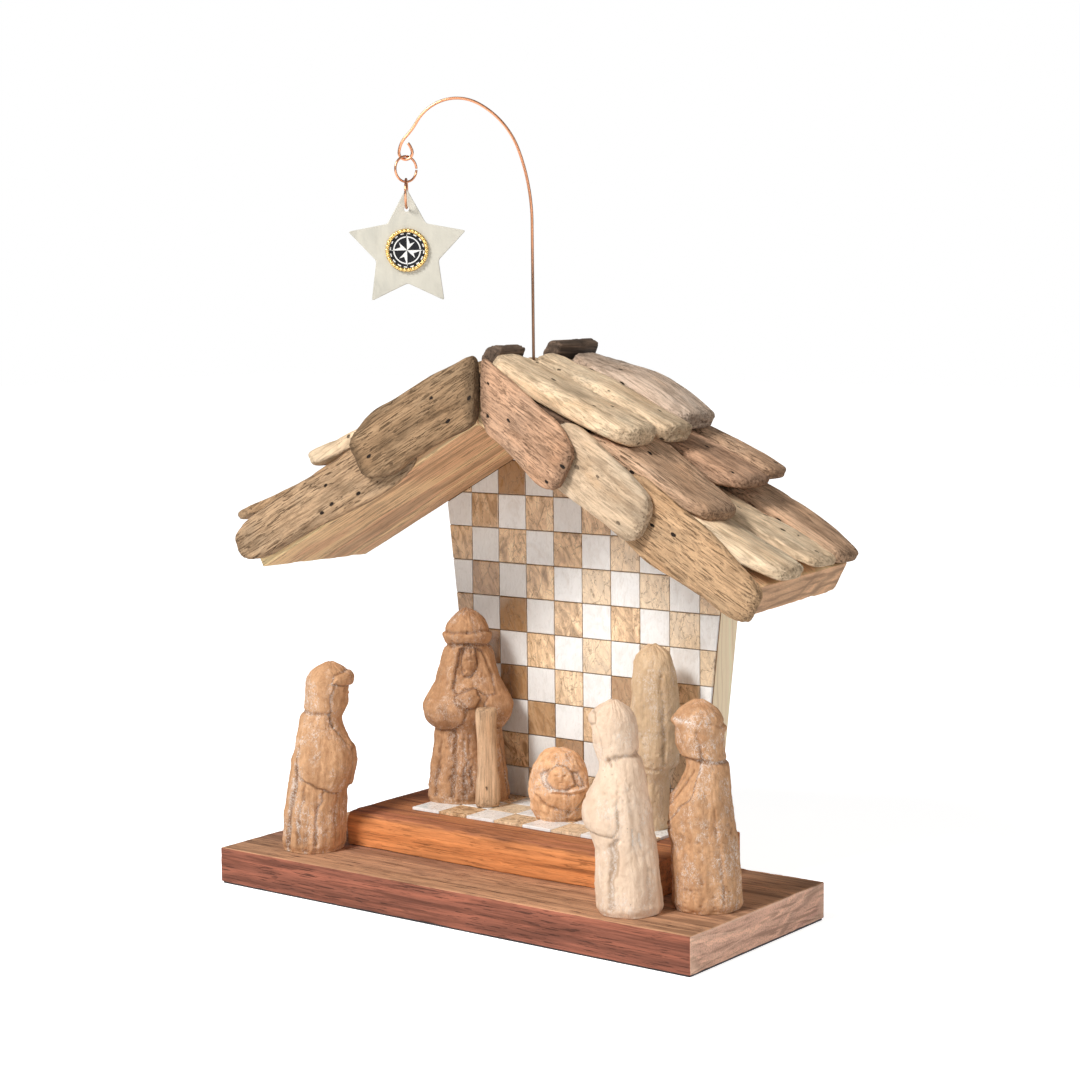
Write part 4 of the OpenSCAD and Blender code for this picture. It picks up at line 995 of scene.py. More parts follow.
# Swellings: height, angle, size, and how far they reach up and round
WISE_MARKS = [(0.47, 44, 0.08, 0.09, 24), (0.47, -44, 0.08, 0.09, 24), (0.5, 0, -0.1, 0.06, 10),
    (0.55, 0, 0.1, 0.02, 12), (0.868, 0, -0.05, 0.014, 30), (0.78, 0, 0.08, 0.03, 20), (0.8, 52, -0.06, 0.04, 12),
    (0.8, -52, -0.06, 0.04, 12), (0.7, 0, -0.06, 0.03, 50)]
FATHER_MARKS = [(0.48, 62, 0.06, 0.07, 22), (0.49, -62, 0.08, 0.08, 24), (0.5, -28, 0.1, 0.06, 18),
    (0.59, -4, 0.1, 0.035, 11), (0.68, 0, -0.1, 0.11, 24), (0.35, 30, -0.1, 0.2, 12)]
MOTHER_MARKS = [(0.5, 34, 0.12, 0.06, 22), (0.5, -34, 0.12, 0.06, 22), (0.83, 0, -0.1, 0.08, 26),
    (0.79, 0, 0.05, 0.02, 14), (0.2, 30, -0.06, 0.2, 10)]
CHILD_MARKS = [(0.6, 0, -0.08, 0.24, 36), (0.62, 2, 0.07, 0.13, 22), (0.3, 30, 0.06, 0.1, 30),
    (0.2, -50, 0.05, 0.1, 30)]

COLLAR = [([(62, 0.735), (90, 0.735), (140, 0.74), (180, 0.742)], 1.2, -1.0)]
HOOD_EDGE = [([(54, 0.895), (60, 0.82), (58, 0.75)], 1.0, -0.9)]
WISE_STROKES = mirrored(COLLAR + HOOD_EDGE + [
    ([(60, 0.735), (32, 0.64), (8, 0.56)], 1.0, -1.0),
    ([(122, 0.46), (128, 0.3), (134, 0.05)], 1.5, -1.5),
    ([(98, 0.36), (104, 0.2), (108, 0.05)], 1.3, -0.9),
    ([(66, 0.33), (70, 0.2), (74, 0.05)], 1.0, -0.7),
    ([(30, 0.33), (33, 0.18), (30, 0.04)], 1.1, -0.8),
    ([(158, 0.6), (164, 0.3), (168, 0.05)], 1.4, -0.8),
]) + [([(-7, 0.56), (0, 0.575), (7, 0.56)], 1.5, 1.0)]
# Fields: a polygon of angles and heights, depth, edge width, doming width, and the heights where it melts away
SLEEVE = mirrored([([(125, 0.45), (99, 0.4), (75, 0.36), (35, 0.325), (5, 0.345), (3, 0.52), (10, 0.55), (30, 0.64),
    (60, 0.69), (95, 0.69), (125, 0.6)], 2.3, 0.8, 9.0, (0.48, 0.68))])
BROW = [([(-64, 0.9), (-30, 0.886), (0, 0.882), (30, 0.886), (64, 0.9), (60, 0.935), (0, 0.955), (-60, 0.935)], 1.9,
    0.9, 4.0, None)]
SOFT_STROKES = mirrored([
    ([(70, 0.7), (85, 0.735), (110, 0.745), (150, 0.75), (180, 0.755)], 1.3, -1.0),
    ([(60, 0.93), (68, 0.86), (74, 0.79), (72, 0.75)], 1.0, -0.6),
    ([(97, 0.36), (91, 0.3), (83, 0.18), (76, 0.04)], 1.5, -1.6),
    ([(86, 0.34), (79, 0.2)], 1.0, -0.6),
    ([(126, 0.42), (126, 0.35)], 0.9, -0.9),
    ([(142, 0.4), (142, 0.33)], 0.9, -0.8),
    ([(88, 0.735), (92, 0.71)], 1.2, -1.2),
    ([(150, 0.3), (154, 0.06)], 1.2, -0.5),
])
SOFT_SLEEVE = mirrored([([(4, 0.44), (22, 0.4), (60, 0.4), (85, 0.385), (98, 0.44), (100, 0.55), (85, 0.62),
    (50, 0.63), (6, 0.58)], 2.0, 1.2, 10.0, (0.48, 0.64))])
SOFT_BROW = [([(-60, 0.91), (0, 0.885), (60, 0.91), (50, 0.945), (0, 0.955), (-50, 0.945)], 0.9, 1.4, 4.0, None)]
CAPE_STROKES = mirrored([
    ([(12, 0.918), (60, 0.915), (102, 0.903), (150, 0.89), (180, 0.885)], 0.8, -0.8),
    ([(0, 0.9), (60, 0.895), (102, 0.884), (150, 0.87), (180, 0.865)], 2.4, 0.7),
    ([(98, 0.722), (130, 0.715), (180, 0.712)], 1.2, -1.1),
    ([(96, 0.86), (101, 0.79), (103, 0.73)], 1.1, -0.9),
    ([(74, 0.68), (44, 0.58), (22, 0.49)], 1.2, -0.9),
    ([(48, 0.7), (24, 0.62)], 1.1, -0.7),
    ([(38, 0.41), (20, 0.37), (0, 0.38)], 1.3, -1.0),
    ([(60, 0.36), (66, 0.05)], 1.2, -0.5),
    ([(120, 0.5), (128, 0.06)], 1.3, -0.6),
])
CAPE_FIELD = [([(-100, 0.728), (-60, 0.738), (0, 0.73), (60, 0.738), (100, 0.728), (97, 0.67), (80, 0.565),
    (59, 0.485), (36, 0.41), (0, 0.4), (-36, 0.41), (-59, 0.485), (-80, 0.565), (-97, 0.67)], -2.3, 1.0, 9.0, None)]
FATHER_STROKES = mirrored([
    ([(0, 0.822), (50, 0.815), (90, 0.808), (180, 0.812)], 1.2, -1.3),
    ([(0, 0.892), (60, 0.887), (100, 0.882), (180, 0.88)], 1.0, -0.9),
    ([(90, 0.42), (130, 0.4), (180, 0.4)], 1.1, -0.7),
    ([(36, 0.8), (40, 0.7), (44, 0.6)], 1.8, 0.7),
    ([(100, 0.37), (106, 0.05)], 1.3, -0.9),
    ([(150, 0.37), (154, 0.05)], 1.3, -0.9),
]) + [
    ([(-27, 0.375), (-28, 0.2), (-30, 0.04)], 1.5, -1.7),
    ([(-8, 0.36), (-7, 0.05)], 1.1, -0.9),
    ([(2, 0.36), (3, 0.1)], 0.9, -0.7),
    ([(-54, 0.37), (-57, 0.04)], 1.2, -1.0),
    ([(38, 0.37), (42, 0.04)], 1.3, -1.0),
    ([(62, 0.37), (68, 0.04)], 1.2, -0.9),
    ([(-15, 0.8), (-17, 0.73), (-8, 0.69)], 0.8, -0.6),
    ([(17, 0.8), (19, 0.73), (9, 0.69)], 0.8, -0.6),
]
FATHER_FIELDS = [
    ([(-28, 0.8), (-31, 0.7), (-30, 0.6), (-20, 0.575), (5, 0.6), (30, 0.56), (46, 0.56), (53, 0.66), (40, 0.79),
        (8, 0.812)], -3.2, 0.9, 7.0, None),
    ([(-17, 0.81), (-17, 0.72), (-7, 0.67), (7, 0.67), (18, 0.72), (19, 0.81)], 2.6, 1.2, 7.0, None),
    ([(-18, 0.53), (-21, 0.565), (-7, 0.605), (9, 0.6), (13, 0.55), (4, 0.51), (-8, 0.505)], 2.6, 0.9, 5.0, None),
    ([(-95, 0.43), (-62, 0.385), (-30, 0.39), (-14, 0.43), (-8, 0.5), (-24, 0.57), (-50, 0.64), (-90, 0.62)], 2.3,
        0.8, 9.0, (0.5, 0.64)),
    ([(95, 0.43), (62, 0.385), (34, 0.4), (20, 0.44), (24, 0.52), (40, 0.6), (60, 0.64), (90, 0.62)], 2.3, 0.8, 9.0,
        (0.5, 0.64)),
]
MOTHER_STROKES = mirrored([
    ([(24, 0.94), (34, 0.86), (32, 0.76), (38, 0.62), (52, 0.46), (62, 0.36)], 1.0, -0.9),
    ([(30, 0.94), (42, 0.86), (40, 0.76)], 1.5, 0.6),
    ([(90, 0.85), (98, 0.6), (102, 0.37)], 1.2, -0.5),
    ([(135, 0.88), (140, 0.6), (142, 0.36)], 1.2, -0.6),
    ([(44, 0.345), (90, 0.34), (140, 0.33), (180, 0.325)], 1.2, -0.6),
    ([(26, 0.3), (28, 0.05)], 1.1, -0.8),
    ([(110, 0.3), (112, 0.05)], 1.1, -0.6),
    ([(10, 0.52), (30, 0.5)], 1.6, 0.8),
])
CHILD_STROKES = [
    ([(-16, 0.455), (20, 0.435), (54, 0.465)], 1.1, 0.9),
    ([(-16, 0.43), (20, 0.405), (54, 0.44)], 0.8, -0.6),
    ([(-14, 0.93), (0, 0.945), (14, 0.925)], 1.6, 1.0),
    ([(-50, 0.8), (-60, 0.6), (-54, 0.42)], 1.3, 0.8),
    ([(44, 0.82), (62, 0.62), (60, 0.46)], 1.3, 0.7),
    ([(-62, 0.4), (-24, 0.24), (14, 0.14)], 1.2, -0.9),
    ([(58, 0.36), (34, 0.2), (12, 0.07)], 1.1, -0.8),
    ([(-10, 0.668), (-4, 0.664)], 0.6, -0.45),
    ([(5, 0.664), (11, 0.668)], 0.6, -0.45),
    ([(0.5, 0.66), (0.5, 0.62)], 0.6, 0.35),
    ([(-4, 0.575), (5, 0.575)], 0.5, -0.35),
]
CHILD_FIELDS = [
    ([(-22, 0.73), (-27, 0.6), (-15, 0.5), (6, 0.475), (27, 0.54), (27, 0.68), (13, 0.78), (-10, 0.79)], 1.4, 1.0,
        8.0, None),
    ([(-25, 0.78), (-36, 0.73), (-48, 0.68), (-40, 0.56), (-21, 0.45), (-14, 0.48), (-28, 0.6)], -1.3, 0.8, 3.0,
        None),
    ([(28, 0.73), (42, 0.71), (54, 0.6), (54, 0.48), (41, 0.475), (29, 0.54)], -1.3, 0.8, 3.0, None),
]
# Chalk lines are strokes whose depth is a share of white
LEFT_CHALK = [([(-132, 0.4), (-136, 0.2)], 0.7, 0.8), ([(-70, 0.32), (-72, 0.12)], 0.6, 0.7),
    ([(-57, 0.86), (-59, 0.76)], 0.9, 0.6)]
FRONT_CHALK = [([(126, 0.42), (126, 0.35)], 0.6, 0.9), ([(142, 0.4), (142, 0.33)], 0.6, 0.9),
    ([(88, 0.33), (80, 0.1)], 0.6, 0.7)]
RIGHT_CHALK = [([(14, 0.916), (60, 0.913), (92, 0.905)], 0.9, 1.0), ([(100, 0.72), (96, 0.66)], 0.9, 0.7),
    ([(120, 0.72), (160, 0.712)], 0.6, 0.7)]
FATHER_CHALK = [([(-8, 0.33), (-7, 0.12)], 0.6, 0.6)]
CHILD_CHALK = [([(-40, 0.7), (-34, 0.6), (-20, 0.48)], 1.7, 1.1), ([(40, 0.68), (44, 0.56), (46, 0.49)], 1.6, 1.1),
    ([(-20, 0.48), (10, 0.45), (40, 0.47)], 0.7, 0.7)]


class StableBuilder:
    """Shared by the operators, so that each can be undone"""

    bl_options = {"REGISTER", "UNDO"}


class STABLE_OT_planks(StableBuilder, bpy.types.Operator):
    """Add the base plank, the step plank and the felt"""

    bl_idname = "stable.planks"
    bl_label = "Planks"

    def execute(self, context):
        s, c = context.scene.stable_sizes, context.scene.stable_colours

        def along_x(p, q, r):
            """A sawn piece that runs from left to right."""
            return np.stack([p, q, r], -1)

        lo, hi = low("base_plank"), high("base_plank")
        box = [(lo[1], lo[2]), (hi[1], lo[2]), (hi[1], hi[2]), (lo[1], hi[2])]
        base = sawn("base_wood", box, lo[0], hi[0], along_x, radius=mm(s.edge_wear), gap=1.9, seed=3, wave=0.22,
            chips=0.35)
        # The base's top and end are lighter than its front: partly their own more orange and paler tones, partly
        # painted light from above and from the right
        settle(base, plank_wood("faded red plank", tuple(c.red_plank), (0.40, 0.17, 0.17), ring=(20.0, -150.0),
            pore=0.85, spread=0.16, contrast=1.1, top=(0.53, 0.285, 0.16), end=(0.72, 0.43, 0.31)), "base_plank")
        lo, hi = low("step_plank"), high("step_plank")
        r = (hi[2] - lo[2]) * 0.22
        y0 = lo[1]
        face = [(hi[1], lo[2]), (hi[1], hi[2]), (y0 + 2 * r, hi[2]), (y0 + r * 0.75, hi[2] - r * 0.18),
            (y0 + r * 0.2, hi[2] - r * 0.8), (y0, hi[2] - 2 * r), (y0 + r * 0.15, lo[2] + r * 1.2),
            (y0 + r * 0.1, lo[2])]
        step = sawn("step_wood", face, lo[0], hi[0], along_x, radius=0.9, gap=1.6, seed=11, wave=0.4, chips=0.4)
        settle(step, plank_wood("orange plank", tuple(c.orange_plank), (0.60, 0.25, 0.09), ring=(30.0, 10.0),
            pore=0.45, spread=0.09, contrast=1.1, top=(0.36, 0.13, 0.065)), "step_plank")
        f = Finish("black felt")
        fuzz = f.noise((1.5, 1.5, 1.5), 4, 0.8)
        f.bump((fuzz, 0.3))
        felt = f.done(f.mix(fuzz, (0.012, 0.012, 0.014), (0.05, 0.05, 0.055)), 0.95, Sheen_Weight=0.3)
        dress(NODES["base_felt"], felt)
        return {"FINISHED"}


class STABLE_OT_back_board(StableBuilder, bpy.types.Operator):
    """Finish the pine back board and its screws"""

    bl_idname = "stable.back_board"
    bl_label = "Back board"

    def execute(self, context):
        c = context.scene.stable_colours
        col = tuple(c.pine)
        f = Finish("planed pine")
        across, back, _ = f.split(f.place())
        warp = f.noise((0.02, 0.02, 0.005), 3)
        x = f.maths("ADD", across, f.times(warp, 14.0))
        y = f.maths("SUBTRACT", back, 10.0)
        far = f.maths("SQRT", f.maths("ADD", f.times(x, x), f.times(y, y)))
        rings = f.line_noise(far, 0.5, 3)
        fine = f.noise((1.6, 1.6, 0.03), 4, 0.6)
        tone = f.ramp(rings, [(0.3, tint(col, 1.1)), (0.72, tint(col, 0.72, 0.06)), (0.52, col)])
        tone = f.layer(tone, fine, 0.45, 0.75, 0.3, tint(col, 0.8))
        glue = f.between(back, 65.3, 65.15)
        tone = f.mix(glue, tone, (0.30, 0.17, 0.085))
        f.bump((rings, 0.1), (fine, 0.08))
        dress(NODES["back_board"], f.done(tone, 0.55, Specular_IOR_Level=0.35))
        dress(NODES["board_screws"], metal("screw brass", (0.7, 0.5, 0.22), rough=0.3, dark=0.3))
        return {"FINISHED"}


# Half the width of the back board at its foot and the smallest cut tile, in millimetres, and how far a tile may
# tip, as a slope
BOARD_FOOT_HALF = 75.0
SMALLEST_TILE = 0.8
TILE_TIP = 0.012


class STABLE_OT_tiles(StableBuilder, bpy.types.Operator):
    """Add the shell tiles of the wall and the floor"""

    bl_idname = "stable.tiles"
    bl_label = "Shell tiles"

    def execute(self, context):
        s, c = context.scene.stable_sizes, context.scene.stable_colours
        pitch, gap, mid = mm(s.tile), mm(s.tile_gap), mm(s.middle)
        wall_lo, wall_hi = low("wall_tiles_pearl"), high("wall_tiles_pearl")
        board_lo, board_hi = low("back_board"), high("back_board")
        y_back, thick = wall_hi[1], wall_hi[1] - wall_lo[1]
        floor_z = wall_lo[2]
        step_top = high("step_plank")[2]
        z0 = step_top - 0.05 * pitch
        tan = math.tan(s.pitch)
        eave_half = (board_hi[0] - board_lo[0]) / 2
        eave_z = board_hi[2] - eave_half * tan
        taper = (eave_half - BOARD_FOOT_HALF) / (eave_z - board_lo[2])
        # Each line a, b, c keeps what has a*x + b*z <= c: the board's sides, the roof's undersides and the floor
        edges = []
        for sign in (-1, 1):
            edges.append((sign, -taper, sign * mid + BOARD_FOOT_HALF - board_lo[2] * taper - gap))
            edges.append((sign * tan, 1.0, mm(s.ridge) - gap + sign * tan * mid))
        edges.append((0.0, -1.0, -floor_z))
        rng = np.random.default_rng(8)
        shades = {
            "pearl": pearl_shell("pearl shell", tuple(c.pearl)),
            "amber": amber_shell("amber shell", tuple(c.amber)),
        }

        def wall(p):
            """A tile on the wall, facing the front."""
            return np.stack([p[:, 0], y_back - p[:, 2], p[:, 1]], -1)

        def ground(p):
            """A tile on the step, facing up."""
            return np.stack([p[:, 0], p[:, 1], step_top + p[:, 2]], -1)

        def square(i, start):
            """Outline of the tile in column i whose lower edge has a given start."""
            a, b, e = mid + i * pitch + gap / 2, start + gap / 2, pitch - gap
            return [(a, b), (a + e, b), (a + e, b + e), (a, b + e)]

        for kind, even in (("pearl", 1), ("amber", 0)):
            parts = []
            for i, m in itertools.product(range(-6, 6), range(13)):
                if (i + m) % 2 != even:
                    continue
                poly = square(i, z0 + m * pitch)
                for line in edges:
                    if poly:
                        poly = clip_polygon(poly, line)
                if len(poly) < 3 or np.ptp(poly, axis=0).min() < SMALLEST_TILE:
                    continue
                # Each tile's tone is random, leant lower towards the left columns and the lowest rows; the shell
                # finishes darken tiles of low tone, so the lean is painted shade on the lower left of the wall,
                # behind the figures
                tone = float(np.clip(rng.uniform(0.1, 1.0) + 0.1 * i + 0.07 * (min(m, 5) - 5), 0, 1))
                parts.append(tile_part(poly, thick, tone, rng.uniform(-TILE_TIP, TILE_TIP, 2), wall))
            settle(add_mesh(f"wall_{kind}", *join_parts(parts), smooth_faces=False), shades[kind],
                f"wall_tiles_{kind}")
        for kind, even in (("pearl", 0), ("amber", 1)):
            parts = []
            for i, m in itertools.product(range(-4, 4), range(3)):
                if (i + m) % 2 == even:
                    poly = square(i, board_lo[1] - (m + 1) * pitch)
                    tone = rng.uniform(0.3, 1)
                    parts.append(tile_part(poly, thick, tone, rng.uniform(-TILE_TIP, TILE_TIP, 2), ground))
            settle(add_mesh(f"floor_{kind}", *join_parts(parts), smooth_faces=False), shades[kind],
                f"floor_tiles_{kind}")
        return {"FINISHED"}


class STABLE_OT_roof_boards(StableBuilder, bpy.types.Operator):
    """Add the two roof boards"""

    bl_idname = "stable.roof_boards"
    bl_label = "Roof boards"

    def execute(self, context):
        s, c = context.scene.stable_sizes, context.scene.stable_colours
        t, long = mm(s.roof_thickness), mm(s.roof_length)
        for side, word, near, far in ((-1, "left", 0.976, 1.004), (1, "right", 1.024, 0.995)):
            lo, hi = low(f"roof_board_{word}"), high(f"roof_board_{word}")
            size = near * long
            shape = [(0, 0), (size, 0), (size, t), (-t * math.tan(s.pitch), t)]

            def place(p, q, r):
                """Point of the board, whose eave runs from a near to a far share of its length."""
                back = np.clip((p - lo[1]) / (hi[1] - lo[1]), 0, 1)
                return slope(side, q * (1 + (far - near) / near * back * np.clip(q / long, 0, 1)), p, r)

            board = sawn(f"roof_wood_{word}", shape, lo[1], hi[1], place, radius=0.7, gap=1.9, seed=20 + side,
                wave=0.2, chips=0.6)
            turn = (0, -side * s.pitch, 0)
            # The board colour is raised as painted light on the undersides, and the darker end colour keeps the sawn
            # ends from carrying it
            settle(board, plank_wood(f"roof board {word}", tuple(c.roof_board), (0.66, 0.42, 0.26),
                ring=(15.0, -330.0), pore=0.9, turn=turn, end=(0.60, 0.36, 0.21)), f"roof_board_{word}")
        return {"FINISHED"}


# For each side, the start and the rate of rise of the low, middle and top rows
LAPS = {1: ((-0.0075, 0.07), (0.04, 0.113), (0.104, 0.11)), -1: ((0.01, 0.107), (0.045, 0.16), (0.096, 0.14))}


def row_top(side, row, u):
    """Height of a driftwood row's upper plane above the boards' underside, u down the slope."""
    s = bpy.context.scene.stable_sizes
    start, rate = LAPS[side][row]
    return mm(s.roof_thickness) + start * mm(s.roof_length) + rate * u


def row_foot(side, row, u):
    """Height of a row's lower plane: the board for the low row, and the row beneath for the others."""
    return mm(bpy.context.scene.stable_sizes.roof_thickness) + 0 * u if row == 0 else row_top(side, row - 1, u)


# For each side and row, from the front: span down the slope, near and far edges across it at both ends, and how the
# tip thins: drop of the top, rise of the foot, the share of the length where they start, and the crown's height
ROWS = {
    (1, 0): [((0.556, 1.055), (0, 0), (0.345, 0.3), (0, 0.28, 0.5, 0)),
        ((0.55, 1.045), (0.36, 0.315), (0.63, 0.6), (0, 0.45, 0.5, 0)),
        ((0.54, 1.018), (0.645, 0.615), (1.0, 0.9), (0.14, 0.16, 0.5, 0.08))],
    (1, 1): [((0.305, 0.79), (0, 0), (0.485, 0.33), (0.42, 0, 0.32, 0)),
        ((0.305, 0.71), (0.5, 0.45), (0.84, 0.76), (0.06, 0.45, 0.72, 0)),
        ((0.305, 0.672), (0.855, 0.775), (1.02, 1.0), (0.06, 0.4, 0.74, 0))],
    (1, 2): [((-0.07, 0.47), (0, 0), (0.33, 0.3), (0, 0, 0.5, 0)),
        ((-0.07, 0.468), (0.345, 0.315), (0.6, 0.625), (0, 0, 0.5, 0)),
        ((-0.065, 0.4), (0.615, 0.64), (0.93, 0.98), (0.1, 0, 0.5, 0.17))],
    (-1, 0): [((0.55, 1.05), (0, 0), (0.36, 0.4), (0, 1, 0.3, 0)),
        ((0.556, 1.03), (0.375, 0.415), (0.66, 0.62), (0, 0.9, 0.3, 0)),
        ((0.54, 1.05), (0.675, 0.635), (1.0, 0.96), (0, 0.95, 0.3, 0))],
    (-1, 1): [((0.305, 0.68), (0, 0), (0.3, 0.34), (0, 0.2, 0.8, 0)),
        ((0.305, 0.7), (0.315, 0.355), (0.7, 0.66), (0.1, 0.22, 0.76, 0)),
        ((0.305, 0.68), (0.715, 0.675), (1.02, 0.98), (0.1, 0.2, 0.8, 0))],
    (-1, 2): [((-0.045, 0.415), (0, 0), (0.38, 0.36), (0.25, 0, 0.5, 0)),
        ((-0.045, 0.42), (0.395, 0.375), (0.68, 0.71), (0.2, 0, 0.5, 0)),
        ((-0.04, 0.42), (0.695, 0.725), (0.98, 0.95), (0.2, 0, 0.5, 0))],
}
ROW_WORDS = ("low", "mid", "top")
ROW_LOOKS = {
    (1, 0): ("pale", "pale", "brown"), (1, 1): ("brown", "pink", "brown"), (1, 2): ("pale", "pale", "grey"),
    (-1, 0): ("tan", "pink", "pale"), (-1, 1): ("pale", "tan", "pink"), (-1, 2): ("tan", "pale", "tan"),
}

# Colour property and shares of it, depth of slits, sponginess, depth of grain and darkness of the ends, which is
# their end grain with painted shade
DRIFT_KINDS = {
    "tan": ("drift_tan", (0.96, 0.91, 0.87), 0.8, 0.6, 1.0, 0.2),
    "oak": ("drift_tan", (0.84, 0.82, 0.82), 1.0, 0.6, 1.2, 0.2),
    "staff": ("drift_tan", (1.3, 1.3, 1.38), 0.2, 0.5, 0.5, 0.3),
    "pale": ("drift_pale", (1.07, 1.05, 1.06), 0.3, 0.6, 0.65, 0.35),
    "sand": ("drift_pale", (0.80, 0.78, 0.80), 0.1, 0.7, 0.6, 0.2),
    "grey": ("drift_pale", (0.88, 0.88, 1.02), 0.55, 0.8, 1.0, 0.5),
    "pink": ("drift_pink", (1.02, 0.97, 0.94), 0.6, 1.0, 1.1, 0.7),
    "brown": ("drift_pink", (1.13, 1.15, 1.13), 1.0, 0.8, 1.2, 0.5),
    "dark": ("drift_dark", (1.08, 1.06, 1.04), 0.9, 0.7, 1.2, 0.8),
}


def drift_finish(kind):
    """The driftwood finish of one kind, made once."""
    made = bpy.data.materials.get(f"{kind} driftwood")
    if made:
        return made
    c = bpy.context.scene.stable_colours
    source, share, slits, sponge, depth, end_dark = DRIFT_KINDS[kind]
    col = tuple(min(a * b, 1) for a, b in zip(getattr(c, source), share))
    return weathered_wood(f"{kind} driftwood", col, tint(col, 0.98, -0.1), tint(col, 0.86, 0.14), slits, sponge,
        depth, end_dark)


class STABLE_OT_roof_drift(StableBuilder, bpy.types.Operator):
    """Add the driftwood rows on both slopes"""

    bl_idname = "stable.roof_drift"
    bl_label = "Roof driftwood"

    def execute(self, context):
        s = context.scene.stable_sizes
        size, deep, board = mm(s.roof_length), mm(s.cover_depth), mm(s.roof_thickness)
        y0 = -mm(s.roof_front) + 1.0
        for (side, row), pieces in ROWS.items():
            word = "right" if side > 0 else "left"
            for k, (span, near, far, (drop, raised, start, crown)) in enumerate(pieces):
                a, b = span[0] * size, span[1] * size

                def place(p, q, h):
                    """Point on this slope."""
                    return slope(side, p, q, h)

                def past(u):
                    """How far u is past the start of the thinning, from 0 to the board's thickness at the tip."""
                    return np.maximum(0, ((u - a) / (b - a) - start) / (1 - start)) * board

                def foot(u):
                    """The row's foot, raised towards the tip."""
                    return row_foot(side, row, u) + raised * past(u)

                def top(u):
                    """The row's top, lowered towards the tip and crowned in the middle."""
                    arch = 1 - ((2 * u - a - b) / (b - a)) ** 2
                    return row_top(side, row, u) - drop * past(u) + crown * board * arch

                node = f"drift_{word}_{ROW_WORDS[row]}_{k + 1}"
                seed = 40 + 9 * row + 3 * k + (side > 0) * 100
                edges = [(y0 + edge[0] * deep, y0 + edge[1] * deep) for edge in (near, far)]
                piece = driftwood(f"{node}_wood", place, (a, b), *edges, foot, top, seed)
                settle(piece, drift_finish(ROW_LOOKS[(side, row)][k]), node)
        return {"FINISHED"}


# Node, side, span down the slope, near and far edges at both ends, the lines that its back and front follow, how far
# its front stands out, lean, kind, and the bluntness of its ends
GABLE = [
    ("gable_drift_right_lower", 1, (0.52, 1.05), (-0.27, -0.18), (1.98, 1.15), (0, 0), (0.251, 0.06), 0, 0, "tan",
        0.5, 0.36),
    ("gable_drift_right_middle", 1, (0.251, 0.66), (-0.1, -0.15), (1.95, 1.6), (0.251, 0.06), (-0.027, 0.09), 0, 0,
        "sand", 0.5, 0.5),
    ("gable_drift_right_upper", 1, (-0.02, 0.37), (0.05, -0.28), (2.05, 1.65), (-0.027, 0.09), (0.02, 0.105), 5.3, -1,
        "pink", 0.2, 0.5),
    ("gable_drift_left_lower", -1, (0.235, 1.006), (-0.32, 0.1), (1.6, 1.62), (0, 0), (-0.128, 0.05), 0, 0, "oak",
        0.5, 0.5),
    ("gable_drift_left_upper", -1, (-0.065, 0.425), (-0.1, 0.05), (1.9, 2.1), (-0.128, 0.05), (-0.128, 0.05), 7.2, -1,
        "dark", 0.2, 0.5),
]


class STABLE_OT_gable_drift(StableBuilder, bpy.types.Operator):
    """Add the driftwood along the front edge of the roof"""

    bl_idname = "stable.gable_drift"
    bl_label = "Gable driftwood"

    def execute(self, context):
        s = context.scene.stable_sizes
        size, t, y0 = mm(s.roof_length), mm(s.roof_thickness), -mm(s.roof_front)

        def depth(u, line, more):
            """How far a piece stands ahead of the roof's front: nothing, or a line's start and rate."""
            start, rate = line
            return 0 * u if line == (0, 0) else rate * (u - start * size) + more

        for k, (node, side, span, near, far, back, front, extra, lean, look, cut, last) in enumerate(GABLE):
            p0, p1 = span[0] * size, span[1] * size

            def place(p, q, h):
                """Point on the front of the roof, sheared where the upper end leans."""
                f = (p - p0) / (p1 - p0)
                mid = t * ((near[0] + far[0]) / 2 + ((near[1] + far[1]) - (near[0] + far[0])) / 2 * f)
                shear = lean * math.tan(s.pitch) * (q - mid) * (1 - f)
                return slope(side, p + shear, y0 - h, q)

            edges = [(edge[0] * t, edge[1] * t) for edge in (near, far)]
            piece = driftwood(f"{node}_wood", place, (p0, p1), *edges, lambda u: depth(u, back, 0),
                lambda u: depth(u, front, extra), seed=7 + 5 * k, rough=0.9, cut=cut, last=last)
            settle(piece, drift_finish(look), node)
        return {"FINISHED"}


